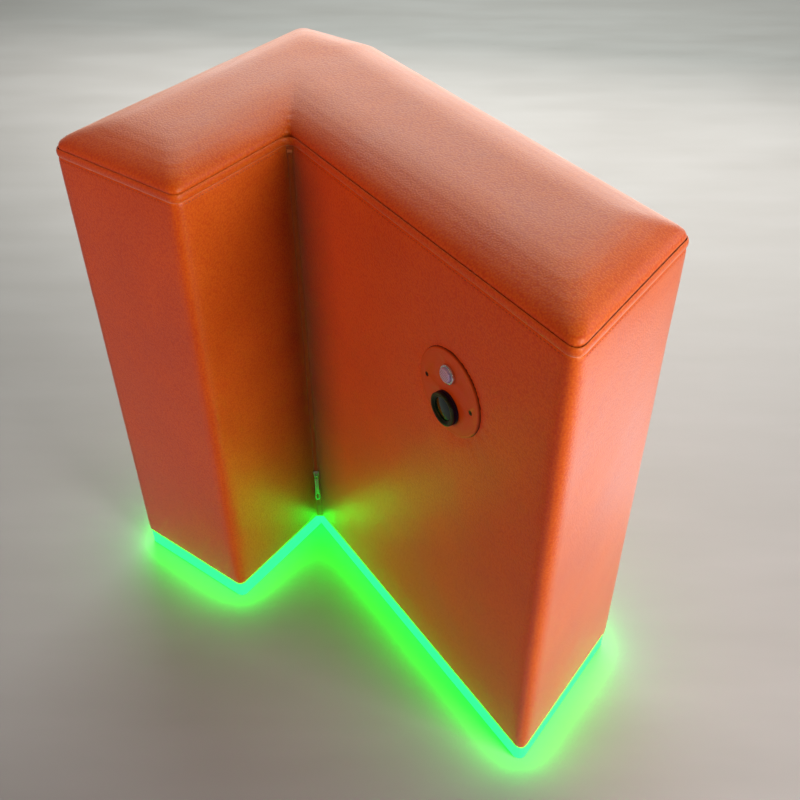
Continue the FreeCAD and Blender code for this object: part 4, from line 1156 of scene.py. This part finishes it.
    def crown(self) -> bpy.types.Object:
        """Build the top cushion from its foam: swollen by simulation, then drawn in at the seam.

        Returns:
            The closed, crowned cushion.
        """
        piece = twin_of("top_foam", "leather_crown", self.merge)
        activate(piece)
        piece.data.remesh_voxel_size = self.crown_voxel
        bpy.ops.object.voxel_remesh()
        with editing(piece):
            select_everything()
            bpy.ops.mesh.vertices_smooth(factor=0.5, repeat=3)
            bpy.ops.transform.shrink_fatten(value=0.6 * MM)
        self.swell(piece)
        with editing(piece):
            select_everything()
            bpy.ops.transform.shrink_fatten(value=1.2 * MM)
            select_everything()
            low = PLAN.seam_z + 4 * MM
            bpy.ops.mesh.bisect(plane_co=(0, 0, low), plane_no=(0, 0, 1), clear_inner=True)
        add_modifier(piece, "SUBSURF", levels=1, render_levels=1)
        with editing(piece):
            choose(piece, "EDGE", lambda edge: edge.is_boundary)
            bpy.ops.mesh.edge_face_add()
        self.draw_in(piece)
        smooth(piece, 60)
        return piece

    def swell(self, piece: bpy.types.Object) -> None:
        """Blow the cushion up a little with Cloth and cap how far any point moves."""
        start = mesh_points(piece)
        group = piece.vertex_groups.new(name="seam")
        held = [index for index, spot in enumerate(start) if spot[2] < PLAN.crease_z + 2 * MM]
        group.add(held, 1.0, "REPLACE")
        activate(piece)
        cloth = piece.modifiers.new("Cloth", "CLOTH")
        cloth.settings.vertex_group_mass = group.name
        cloth.settings.use_pressure = True
        cloth.settings.uniform_pressure_force = self.crown_pressure
        cloth.settings.effector_weights.gravity = 0
        cloth.settings.quality = 4
        scene = bpy.context.scene
        for step in range(1, self.crown_steps + 1):
            scene.frame_set(step)
        view = piece.evaluated_get(bpy.context.evaluated_depsgraph_get())
        swollen = np.empty(len(start) * 3)
        view.data.vertices.foreach_get("co", swollen)
        piece.modifiers.remove(cloth)
        scene.frame_set(1)
        move = swollen.reshape(-1, 3) - start
        reach = np.linalg.norm(move, axis=1, keepdims=True)
        held_back = self.crown_cap * np.tanh(reach / self.crown_cap) / np.maximum(reach, 1e-9)
        set_points(piece, start + evened(piece, move * held_back, self.crown_evening))
        piece.vertex_groups.clear()

    def draw_in(self, piece: bpy.types.Object) -> None:
        """Roll the cushion's edge under at the seam and tuck what is behind the band."""
        points = mesh_points(piece)
        normals = vertex_normals(piece)
        above = points[:, 2] - PLAN.crease_z
        flat = normals.copy()
        flat[:, 2] = 0
        roll = self.crease_pull * np.exp(-np.clip(above, 0, None) / self.crease_fade)
        pull = np.where(above < 0, -self.tuck, -roll)
        points += flat * pull[:, None] * (np.abs(normals[:, 2]) < 0.95)[:, None]
        for index, spot in enumerate(points):
            if above[index] > 0.004:
                points[index, 2] += 0.0006 * noise.noise(Vector(spot) * 11)
        set_points(piece, points)

    def stitches(self) -> bpy.types.Object:
        """Build the row of topstitches under the band's lower seam."""
        size = {"radius": self.stitch_radius, "depth": self.stitch_length}
        piece = primitive("cylinder", "stitch", vertices=6, **size)
        with editing(piece):
            slice_level(self.stitch_bend)
            slice_level(-self.stitch_bend)
            for end in (-1, 1):
                choose(piece, "VERT", lambda vertex: vertex.co.z * end > 2 * MM)
                stretch((0.5, 0.5, 1), (0, 0, end * self.stitch_length / 2))
                shift((0, -self.stitch_dip, 0))
        places = []
        for face in FACES:
            length = PLAN.wall(face)[3]
            ends = [PLAN.corner_radius * math.tan(PLAN.turn(name) / 2) for name in face]
            count = int((length - sum(ends)) / self.stitch_pitch)
            for number in range(count):
                along = ends[0] + (number + 0.5) * (length - sum(ends)) / count
                share = 4 * along / length * (1 - along / length)
                lift = self.pillow * share**self.pillow_power * self.stitch_drop / self.seam_fade
                spot = PLAN.on_face(face, along, PLAN.seam_z - self.stitch_drop)
                sink = Matrix.Translation((0, 0, lift - self.stitch_sink))
                lay = Matrix(((0, 0, 1, 0), (1, 0, 0, 0), (0, 1, 0, 0), (0, 0, 0, 1)))
                places.append(spot @ sink @ lay)
        joined = copies(piece, places, "seam_stitches")
        smooth(joined, 60)
        return joined


# ---------------------------------------------------------------- zip


@dataclass
class Zip:
    """The coil zip in the inner corner, with its woven tape, end stops, slider and pull."""

    tooth_pitch: float = 0.0021
    tooth_radius: float = 0.00062
    tooth_reach: float = 0.0034
    pull_width: float = 0.012
    pull_thickness: float = 0.0025
    slot_half: float = 0.0022

    def build(self) -> None:
        """Build the zip's pieces and hand them over."""
        tape, chain, stops = self.tape(), self.chain(), self.stops()
        slider, pull = self.slider(), self.pull()
        dress(tape, ZIP_TAPE)
        dress(chain, ZIP_COIL)
        dress(stops, ZIP_COIL)
        for piece in (slider, pull):
            dress(piece, ZIP_METAL)
        hand_over(tape, BOOTH, "zip_fabric", "zip_tape")
        hand_over(chain, BOOTH, "zip_fabric", "zip_chain")
        hand_over(stops, BOOTH, "zip_metal", "zip_stops")
        hand_over(slider, "slider", "zip_metal", "zip_slider")
        hand_over(pull, "pull", "zip_metal", "zip_pull")

    def corner_frame(self, up: float) -> Matrix:
        """Return the zip's frame: X to the right, Y out of the corner and Z up."""
        spot = PLAN.corners["c"]
        return Matrix(((1, 0, 0, spot.x), (0, -1, 0, spot.y), (0, 0, 1, up), (0, 0, 0, 1)))

    def tape(self) -> bpy.types.Object:
        """Build the woven tape with a raised cord along each side of the chain."""
        low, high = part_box("zip_tape")
        half = (high.x - low.x) / 2
        section = [(-half, 0), (-0.0052, 0), (-0.0044, -0.0007), (-0.0036, 0)]
        section += [(-x, y) for x, y in reversed(section)]
        centre = PLAN.corners["c"].x
        front = [Vector((centre + x, low.y + y)) for x, y in section]
        back = [Vector((centre + x, high.y)) for x in (half, -half)]
        piece = outline_piece("zip_tape_woven", front + back, low.z, filled=True)
        with editing(piece):
            select_everything()
            extrude((0, 0, high.z - low.z))
            face_out()
        round_edges(piece, 0.25 * MM, 2)
        smooth(piece)
        return piece

    def chain(self) -> bpy.types.Object:
        """Build the two interlocked rows of coil teeth."""
        low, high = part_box("zip_chain")
        length = self.tooth_reach + self.tooth_radius
        piece = primitive("cylinder", "coil_tooth", vertices=6, radius=self.tooth_radius, depth=length)
        with editing(piece):
            slice_level(length * 0.2)
            choose(piece, "VERT", lambda vertex: vertex.co.z > length * 0.4)
            stretch((0.8, 1.5, 1), (0, 0, length / 2))
            choose(piece, "VERT", lambda vertex: vertex.co.z < -length * 0.4)
            shift((0, -self.tooth_radius, 0))
            select_everything()
            stretch((1.05, 1.9, 1))
        depth = (low.y + high.y) / 2
        places = []
        count = int((high.z - low.z) / self.tooth_pitch) - 1
        for number in range(count):
            for side in (-1, 1):
                up = low.z + (number + 0.75 + 0.25 * side) * self.tooth_pitch
                lay = Matrix(((0, 0, -side, 0), (0, -1, 0, 0), (-side, 0, 0, 0), (0, 0, 0, 1)))
                spot = Vector(((low.x + high.x) / 2 + side * 1.6 * MM, depth, up))
                places.append(Matrix.Translation(spot) @ lay)
        joined = copies(piece, places, "zip_coil_teeth")
        with editing(joined):
            face_out()
        smooth(joined, 50)
        return joined

    def stops(self) -> bpy.types.Object:
        """Build the two crimped stops, each with a waist and lacquered like the coil."""
        low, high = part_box("zip_stops")
        piece = primitive("cube", "zip_stop", size=1)
        with editing(piece):
            select_everything()
            size = (high.x - low.x, high.y - low.y, 6 * MM)
            stretch(size)
            bpy.ops.mesh.bisect(plane_co=(0, 0, 0), plane_no=(0, 0, 1))
            choose(piece, "VERT", lambda vertex: abs(vertex.co.z) < 0.1 * MM)
            stretch((0.8, 0.75, 1))
        round_edges(piece, 0.5 * MM, 3)
        x, y = (low.x + high.x) / 2, (low.y + high.y) / 2
        places = [Matrix.Translation((x, y, z)) for z in (low.z + 3 * MM, high.z - 3 * MM)]
        joined = copies(piece, places, "zip_end_stops")
        smooth(joined)
        return joined

    def slider(self) -> bpy.types.Object:
        """Build the slider: a waisted shield, side flanges and an arched bridge."""
        low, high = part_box("zip_slider")
        width, height = high.x - low.x, high.z - low.z
        centre = (low.z + high.z) / 2
        out = PLAN.corners["c"].y
        back, front = out - high.y + 2 * MM, out - low.y - 6 * MM
        shares = [(-0.30, -1), (0.30, -1), (0.40, -0.55), (0.32, -0.1)]
        shares += [(0.5, 0.45), (0.5, 0.85), (0.3, 1)]
        shares += [(-x, y) for x, y in reversed(shares) if y > -0.9]
        outline = [Vector((x * width, y * height / 2)) for x, y in shares]
        shield = outline_piece("zip_slider_cast", outline, 0, filled=True)
        with editing(shield):
            select_everything()
            extrude((0, 0, front - back))
            face_out()
        round_edges(shield, 0.7 * MM, 3)
        flanges = []
        for side in (-1, 1):
            flange = primitive("cube", "slider_flange", size=1)
            with editing(flange):
                select_everything()
                stretch((1.5 * MM, 0.86 * height, 2.4 * MM))
                shift((side * (width / 2 - 1.9 * MM), 0.06 * height, -0.8 * MM))
            round_edges(flange, 0.4 * MM, 2)
            flanges.append(flange)
        bridge = self.bridge(front - back)
        join(shield, flanges + [bridge])
        upright = Matrix(((1, 0, 0, 0), (0, 0, 1, back), (0, 1, 0, 0), (0, 0, 0, 1)))
        settle(shield, self.corner_frame(centre) @ upright)
        with editing(shield):
            face_out()
        smooth(shield)
        return shield

    def bridge(self, base: float) -> bpy.types.Object:
        """Build the arched bridge that the pull hangs from, by spinning a square round an arc."""
        piece = primitive("plane", "slider_bridge", size=1)
        reach = 4.6 * MM
        with editing(piece):
            select_everything()
            stretch((2.8 * MM, 1.5 * MM, 1))
            shift((0, -reach, 0))
            bpy.ops.mesh.spin(steps=16, angle=math.pi, center=(0, 0, 0), axis=(1, 0, 0))
            face_out()
            turned_down = min(vertex.co.z for vertex in bmesh.from_edit_mesh(piece.data).verts) < -MM
            if turned_down:
                stretch((1, 1, -1))
                bpy.ops.mesh.normals_make_consistent(inside=False)
            stretch((1, 1.15, 1.02))
            shift((0, 0, base - 0.2 * MM))
        round_edges(piece, 0.3 * MM, 2)
        return piece

    def pull(self) -> bpy.types.Object:
        """Build the long flat pull: a waisted tab with a slot, two ears and a pin."""
        low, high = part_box("zip_pull")
        out = PLAN.corners["c"].y - (low.y + high.y) / 2
        pin_z = high.z - (high.y - low.y) / 2
        length = pin_z - low.z
        half = self.pull_width / 2
        side = [(0.0, -9 * MM), (3.6 * MM, -9 * MM), (4.6 * MM, -14 * MM), (4.4 * MM, -30 * MM)]
        side += [(5.2 * MM, -52 * MM), (half, -66 * MM), (half, 5 * MM - length)]
        side += [(4.2 * MM, 1.2 * MM - length)]
        side += [(0.0, -length)]
        outline = [Vector(point) for point in side] + [Vector((-x, z)) for x, z in reversed(side[1:-1])]
        tab = outline_piece("zip_pull_tab", outline, -self.pull_thickness / 2, filled=True)
        with editing(tab):
            select_everything()
            extrude((0, 0, self.pull_thickness))
            face_out()
        self.cut_slot(tab, length)
        round_edges(tab, 0.5 * MM, 3)
        ears = []
        for hand in (-1, 1):
            ear = primitive("cube", "pull_ear", size=1)
            with editing(ear):
                select_everything()
                size = (2.3 * MM, 12 * MM, self.pull_thickness + 0.4 * MM)
                stretch(size)
                shift((hand * 3.05 * MM, -4.2 * MM, 0))
            round_edges(ear, 0.8 * MM, 3)
            ears.append(ear)
        profile = in_mm([(0, -4), (1.2, -4), (1.2, 4), (0, 4)])
        pin = turned("pull_pin", profile, 20)
        across = Matrix(((0, 0, 1, 0), (0, 1, 0, 0), (-1, 0, 0, 0), (0, 0, 0, 1)))
        settle(pin, across)
        join(tab, ears + [pin])
        upright = Matrix(((1, 0, 0, 0), (0, 0, 1, out), (0, 1, 0, 0), (0, 0, 0, 1)))
        settle(tab, self.corner_frame(pin_z) @ upright)
        with editing(tab):
            face_out()
        smooth(tab)
        return tab

    def cut_slot(self, tab: bpy.types.Object, length: float) -> None:
        """Cut a long round-ended slot through the wide end of the pull."""
        tool = primitive("cylinder", "slot_cutter", vertices=24, radius=self.slot_half, depth=0.02)
        with editing(tool):
            select_everything()
            shift((0, 9 * MM - length, 0))
            centre = 9 * MM - length
            choose(tool, "VERT", lambda vertex: vertex.co.y > centre - 0.01 * MM)
            shift((0, 9 * MM, 0))
        cut_away(tab, tool)


# ---------------------------------------------------------------- control plate, lens and button


@dataclass
class ControlPlate:
    """The round enamelled plate with its soft rim."""

    radius: float = 0.081
    low: float = 0.0015
    top: float = 0.006
    bevel: float = 0.0025
    lens_drop: float = 0.030
    lens_hole: float = 0.02705
    button_rise: float = 0.041
    button_hole: float = 0.01405
    screw_offset: float = 0.0605
    screw_hole: float = 0.00465

    def build(self) -> None:
        """Build the plate and hand it over."""
        piece = self.disc()
        dress(piece, ENAMEL)
        hand_over(piece, BOOTH, "orange_enamel", "control_plate")

    def disc(self) -> bpy.types.Object:
        """Turn the disc with a rolled rim, then cut its holes."""
        profile = [(0, self.low), (self.radius - 0.4 * MM, self.low)]
        profile += [(self.radius, self.low + 0.4 * MM)]
        steps = 6
        for step in range(steps + 1):
            bend = math.radians(90 * step / steps)
            reach = self.radius - self.bevel * (1 - math.cos(bend))
            profile.append((reach, self.top - self.bevel + self.bevel * math.sin(bend)))
        profile += [(self.radius - 5.2 * MM, self.top), (self.radius - 5.6 * MM, self.top - 0.25 * MM)]
        profile += [(self.radius - 6.0 * MM, self.top - 0.25 * MM)]
        profile += [(self.radius - 6.4 * MM, self.top), (0, self.top)]
        piece = turned("control_plate_enamelled", profile, 160)
        holes = [
            (0, -self.lens_drop, self.lens_hole),
            (0, self.button_rise, self.button_hole),
            (-self.screw_offset, 0, self.screw_hole),
            (self.screw_offset, 0, self.screw_hole),
        ]
        for x, y, radius in holes:
            tool = primitive("cylinder", "hole_cutter", vertices=64, radius=radius, depth=0.05)
            settle(tool, Matrix.Translation((x, y, 0)))
            cut_away(piece, tool)
        round_edges(piece, 0.25 * MM, 2, 50)
        settle(piece, PLATE)
        smooth(piece, 30)
        return piece


@dataclass
class Lens:
    """The lens: a barrel, a ribbed focus ring, a stepped front rim and coated glass."""

    drop: float = 0.030
    ribs: int = 72

    @property
    def place(self) -> Matrix:
        """The lens axis on the plate."""
        return PLATE @ Matrix.Translation((0, -self.drop, 0))

    def build(self) -> None:
        """Build the lens's pieces and hand them over."""
        parts = (
            (self.barrel(), BLACK_ALLOY, BOOTH, "black_anodised", "lens_barrel"),
            (self.ring(), BLACK_ALLOY, "focus", "black_anodised", "focus_ring"),
            (self.rim(), RIM_ALLOY, BOOTH, "black_anodised", "lens_rim"),
            (self.glass(), GLASS, BOOTH, "optical_glass", "lens_glass"),
        )
        for piece, finish, body, slot, node in parts:
            dress(piece, finish)
            hand_over(piece, body, slot, node)

    def barrel(self) -> bpy.types.Object:
        """Turn the barrel with its flange, tube and bore, threaded by fine steps inside."""
        mm = [(27, -25), (27, 6), (30.4, 6), (31, 6.5), (31, 8.6), (30.6, 9), (25, 9), (25, 15)]
        mm += [(22, 15), (22, 13.5), (20, 13.5)]
        height = 13.5
        while height > -23:
            mm += [(20, height - 1.0), (20.5, height - 1.25), (20.5, height - 2.0), (20, height - 2.25)]
            height -= 2.25
        mm += [(20, -25), (27, -25)]
        return finished(turned("lens_barrel_turned", in_mm(mm)), self.place, 30)

    def ring(self) -> bpy.types.Object:
        """Build the focus ring: a turned sleeve and a grip of small ribs, one modelled and copied."""
        mm = [(25.1, 9.3), (30.0, 9.3), (30.4, 9.7), (30.4, 14.3), (30.0, 14.7)]
        mm += [(25.1, 14.7), (25.1, 9.3)]
        sleeve = turned("focus_sleeve", in_mm(mm))
        rib = primitive("cube", "focus_rib", size=1)
        with editing(rib):
            select_everything()
            stretch((1.2 * MM, 1.5 * MM, 4.4 * MM))
            choose(rib, "VERT", lambda vertex: vertex.co.x > 0)
            stretch((1, 0.55, 0.9))
            select_everything()
            shift((30.4 * MM, 0, 12 * MM))
        turns = turns_of(self.ribs)
        grip = copies(rib, turns, "focus_grip")
        join(sleeve, [grip])
        piece = added("focus_ring_ribbed")
        settle(piece, self.place)
        smooth(piece, 25)
        return piece

    def rim(self) -> bpy.types.Object:
        """Turn the front rim: a rounded outside and a stepped, anti-glare funnel inside."""
        mm = [(31, 15), (31, 18.2), (30.75, 18.75), (30.2, 19), (28.6, 19), (28.2, 18.8)]
        mm += [(26.8, 18.8), (26.6, 18.1), (25.4, 18.1), (25.2, 17.3)]
        mm += [(24.0, 17.3), (23.8, 16.5), (22.4, 16.5)]
        mm += [(22.0, 16.2), (22.0, 15), (31, 15)]
        return finished(turned("lens_rim_stepped", in_mm(mm)), self.place, 30)

    def glass(self) -> bpy.types.Object:
        """Turn the front glass with a domed face."""
        profile = [(0, 13.5 * MM), (21.9 * MM, 13.5 * MM), (21.9 * MM, 14.6 * MM)]
        steps = 10
        for step in range(1, steps + 1):
            share = 1 - step / steps
            profile.append((21.9 * MM * share, (14.6 + 1.9 * (1 - share**2)) * MM))
        profile[-1] = (0, 16.5 * MM)
        return finished(turned("lens_front_glass", profile), self.place, 40)


@dataclass
class PushButton:
    """The sprung shutter button: a satin chrome bezel and a cap with rows of small pits."""

    rise: float = 0.041
    travel: float = 0.003
    pit_pitch: float = 0.0034
    pit_radius: float = 0.0007
    merge: float = 1e-6

    @property
    def place(self) -> Matrix:
        """The button's axis on the plate."""
        return PLATE @ Matrix.Translation((0, self.rise, 0))

    def build(self) -> None:
        """Build the bezel, the cap and its pits, and hand them over."""
        bezel, cap, pits = self.bezel(), self.cap(), self.pits()
        self.spring()
        dress(bezel, CHROME)
        dress(cap, CAP_METAL)
        dress(pits, NYLON)
        hand_over(bezel, BOOTH, "satin_chrome", "button_bezel")
        hand_over(cap, "button", "satin_chrome", "button_cap")
        hand_over(pits, "button", "satin_chrome")

    def spring(self) -> None:
        """Copy the return spring as its own piece on the booth."""
        piece = twin_of("button_spring", "button_spring_wound", self.merge)
        smooth(piece, 50)
        inward = -(self.place.to_3x3() @ Vector((0, 0, 1)))
        along = mesh_points(piece) @ np.array(inward)
        dress(piece, SPRING_STEEL)
        hand_over(piece, BOOTH, "spring_steel", "button_spring")
        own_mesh(piece)

    def bezel(self) -> bpy.types.Object:
        """Turn the bezel with a rounded flange, a threaded shank and its bore."""
        mm = [(14, -22), (14, 6), (17.6, 6), (18, 6.4), (18, 10.4), (17.5, 11.5)]
        mm += [(16.4, 12), (14.2, 12)]
        mm += [(13.4, 11.6), (13.05, 11), (13.05, -12), (3.95, -12), (3.95, -22), (14, -22)]
        return finished(turned("button_bezel_turned", in_mm(mm)), self.place, 40)

    def cap(self) -> bpy.types.Object:
        """Turn the cap with a softly domed face and its stem."""
        mm = [(0, -26), (3.9, -26), (3.9, 4), (13, 4), (13, 15.1), (12.6, 15.6), (11.6, 15.85)]
        mm += [(8, 15.95), (4, 16), (0, 16)]
        return finished(turned("button_cap_domed", in_mm(mm)), self.place, 40)

    def pits(self) -> bpy.types.Object:
        """Build the hexagonal field of small dark pits on the cap's face."""
        profile = [(0, 15.2 * MM), (self.pit_radius, 15.2 * MM), (self.pit_radius, 15.99 * MM)]
        profile += [(0.6 * self.pit_radius, 16.06 * MM), (0, 16.06 * MM)]
        piece = turned("button_pit", profile, 10)
        places = []
        reach = 3
        for row in range(-reach, reach + 1):
            count = 2 * reach + 1 - abs(row)
            for number in range(count):
                x = (number - (count - 1) / 2) * self.pit_pitch
                y = row * self.pit_pitch * math.sqrt(3) / 2
                places.append(self.place @ Matrix.Translation((x, y, 0)))
        joined = copies(piece, places, "button_face_pits")
        smooth(joined, 40)
        return joined


# ---------------------------------------------------------------- power inlet at the back


@dataclass
class PowerCorner:
    """The rocker switch and the cable gland on the booth's outer corner face."""

    fins: int = 18
    merge: float = 1e-5

    def build(self) -> None:
        """Build the switch frame, the rocker and the gland, and hand them over."""
        frame_piece, rocker, gland = self.switch_frame(), self.rocker(), self.gland()
        for piece in (frame_piece, rocker, gland):
            dress(piece, NYLON)
        hand_over(frame_piece, BOOTH, "black_nylon", "power_switch_frame")
        hand_over(rocker, "rocker", "black_nylon", "power_rocker")
        hand_over(gland, BOOTH, "black_nylon", "cable_gland")

    def softened(self, node: str, name: str, width: float) -> bpy.types.Object:
        """Copy a hard CAD node, merge its loose triangles and round its edges."""
        piece = twin_of(node, name, self.merge)
        with editing(piece):
            select_everything()
            bpy.ops.mesh.dissolve_limited(angle_limit=math.radians(2))
        round_edges(piece, width, 3, 40)
        smooth(piece)
        return piece

    def switch_frame(self) -> bpy.types.Object:
        """Build the switch's frame with softened edges."""
        return self.softened("power_switch_frame", "power_switch_bezel", 0.6 * MM)

    def rocker(self) -> bpy.types.Object:
        """Build the rocker with softened edges."""
        return self.softened("power_rocker", "power_rocker_key", 0.35 * MM)

    def gland(self) -> bpy.types.Object:
        """Build the gland: a hexagon nut, a domed cap with fins and the threaded shank."""
        mm = [(4, -50), (10, -50), (10, 0), (14, 0), (14, 3.4), (12.4, 4.0), (12.2, 5.6)]
        mm += [(10.6, 7.4), (8.6, 8), (6, 8), (4.4, 7.4), (4, 6.6), (4, -50)]
        piece = turned("cable_gland_domed", in_mm(mm), 48)
        fin = primitive("cube", "gland_fin", size=1)
        with editing(fin):
            select_everything()
            stretch((1.6 * MM, 1.0 * MM, 3.2 * MM))
            choose(fin, "VERT", lambda vertex: vertex.co.x > 0)
            stretch((1, 0.5, 0.8))
            select_everything()
            shift((12.4 * MM, 0, 5.2 * MM))
        turns = turns_of(self.fins)
        join(piece, [copies(fin, turns, "gland_fins")])
        place = PLAN.on_face("fg", PLAN.corner_face / 2 + PLAN.gland_offset, PLAN.power_z)
        return finished(piece, place, 30)


# ---------------------------------------------------------------- studio


Spot = tuple[float, float, float]
Light = tuple[str, Spot, Spot, float, float, float, str]


@dataclass
class Studio:
    """The pale floor, the soft lights and the camera."""

    eye: Spot = (0.1142, -1.6062, 1.8519)
    heading: float = math.radians(1.28)
    pitch: float = math.radians(40.69)
    roll: float = -0.00593
    focal_mm: float = 44.78
    floor_half: float = 9.0
    floor_light: str = "#B6B2B4"
    floor_dark: str = "#A49F9F"
    world_hue: str = "#D2C8BC"
    world_strength: float = 0.215
    room_lights: tuple[Light, ...] = (
        ("key_right", (2.4, -2.15, 1.5), (0.0, 0.0, 0.8), 1.4, 1.4, 100, "#FFFAF4"),
        ("low_back", (0.5, 3.0, 1.35), (0.0, 0.1, 0.9), 4.4, 0.8, 58, "#FFF8F0"),
        ("over", (0.4, 3.0, 3.3), (0.4, 3.3, 0.0), 4.2, 2.0, 165, "#F2FFF6"),
    )
    booth_lights: tuple[Light, ...] = (
        ("warm_left", (-2.6, -1.9, 1.4), (0.0, 0.0, 0.6), 1.6, 1.6, 40, "#FF9430"),
        ("rim_right", (2.9, 0.6, 1.9), (0.4, -0.3, 1.05), 1.4, 1.0, 16, "#F0EAFF"),
        ("side_bounce", (0.98, -0.28, 0.04), (0.45, -0.42, 0.55), 0.9, 0.9, 5.5, "#DCF4FF"),
    )

    def build(self) -> None:
        """Build the camera, the floor, the lights and the world."""
        self.camera()
        self.floor()
        for light in self.room_lights:
            self.area(*light)
        self.fills = [self.area(*light) for light in self.booth_lights]
        world = bpy.data.worlds.new("studio")
        bpy.context.scene.world = world
        world.use_nodes = True
        sky = world.node_tree.nodes["Background"]
        sky.inputs["Color"].default_value = linear(self.world_hue)
        sky.inputs["Strength"].default_value = self.world_strength
        bpy.context.scene.view_settings.view_transform = "Standard"

    def camera(self) -> None:
        """Add the camera and make it the scene's."""
        ahead = Vector((-math.sin(self.heading), math.cos(self.heading), 0))
        forward = ahead * math.cos(self.pitch) - Vector((0, 0, math.sin(self.pitch)))
        right = forward.cross(Vector((0, 0, 1))).normalized()
        up = right.cross(forward)
        tilt_right = right * math.cos(self.roll) + up * math.sin(self.roll)
        tilt_up = up * math.cos(self.roll) - right * math.sin(self.roll)
        data = bpy.data.cameras.new("camera")
        data.sensor_width = 36
        data.lens = self.focal_mm
        made = bpy.data.objects.new("camera", data)
        bpy.context.scene.collection.objects.link(made)
        axes = (tilt_right, tilt_up, -forward)
        made.matrix_world = Matrix(
            [[axis[row] for axis in axes] + [self.eye[row]] for row in range(3)] + [[0, 0, 0, 1]]
        )
        bpy.context.scene.camera = made

    def floor(self) -> None:
        """Build the plain pale floor, a sealed concrete with a faint satin."""
        piece = primitive("plane", "studio_floor", size=2 * self.floor_half)
        made, tree, shader = new_material("sealed_pale_floor")
        place = add_node(tree, "ShaderNodeTexCoord").outputs["Object"]
        long = {"Vector": place, "Scale": (1.2, 5.0, 1.0)}
        long = add_node(tree, "ShaderNodeMapping", long).outputs[0]
        cloud = {"Vector": long, "Scale": 1.3, "Detail": 3.0, "Roughness": 0.5}
        cloud = add_node(tree, "ShaderNodeTexNoise", cloud).outputs["Fac"]
        hue = add_node(tree, "ShaderNodeValToRGB", {"Fac": cloud})
        hue.color_ramp.elements[0].color = linear(self.floor_dark)
        hue.color_ramp.elements[1].color = linear(self.floor_light)
        tree.links.new(hue.outputs[0], shader.inputs["Base Color"])
        span = {"Value": cloud, "To Min": 0.42, "To Max": 0.6}
        rough = add_node(tree, "ShaderNodeMapRange", span).outputs[0]
        tree.links.new(rough, shader.inputs["Roughness"])
        piece.data.materials.append(made)

    def area(
        self,
        name: str,
        spot: Spot,
        target: Spot,
        wide: float,
        tall: float,
        watts: float,
        hue: str,
    ) -> bpy.types.Object:
        """Add one soft rectangular light.

        Args:
            name: Its name.
            spot: Where it hangs.
            target: What it points at.
            wide: Its width.
            tall: Its height.
            watts: Its power.
            hue: Its colour, in sRGB hex.

        Returns:
            The light.
        """
        data = bpy.data.lights.new(name, "AREA")
        data.shape = "RECTANGLE"
        data.size, data.size_y = wide, tall
        data.energy = watts
        data.color = linear(hue)[:3]
        made = bpy.data.objects.new(name, data)
        made.location = spot
        made.visible_camera = False
        made.rotation_euler = (Vector(target) - Vector(spot)).to_track_quat("-Z", "Y").to_euler()
        bpy.context.scene.collection.objects.link(made)
        return made

    def light_only(self, pieces: Sequence[bpy.types.Object]) -> None:
        """Let the fill lights reach only the given pieces, so the floor stays even."""
        reached = bpy.data.collections.new("lit_by_fill")
        for piece in pieces:
            reached.objects.link(piece)
        for lamp in self.fills:
            lamp.light_linking.receiver_collection = reached


def dress_frame() -> None:
    """Give every carried-over CAD node its finish."""
    for name, piece in NODES.items():
        if name.startswith("panel_"):
            dress(piece, PLYWOOD)
        elif name.startswith("foam_") or name == "top_foam":
            dress(piece, FOAM)
        elif name in CAD_FINISHES:
            dress(piece, CAD_FINISHES[name])


def main() -> None:
    """Build the studio and every piece of the booth, in order."""
    logging.basicConfig(level=logging.INFO, format="%(message)s")
    bpy.ops.object.select_all(action="DESELECT")
    studio = Studio()
    studio.build()
    dress_frame()
    before = set(bpy.data.objects)
    for assembly in (Upholstery(), Zip(), ControlPlate(), Lens(), PushButton(), PowerCorner()):
        LOG.info("building %s", type(assembly).__name__)
        assembly.build()
    made = [piece for piece in bpy.data.objects if piece not in before]
    carried = [node for name, node in NODES.items() if name != "light_diffuser"]
    studio.light_only(made + carried)


if __name__ == "__main__":
    main()
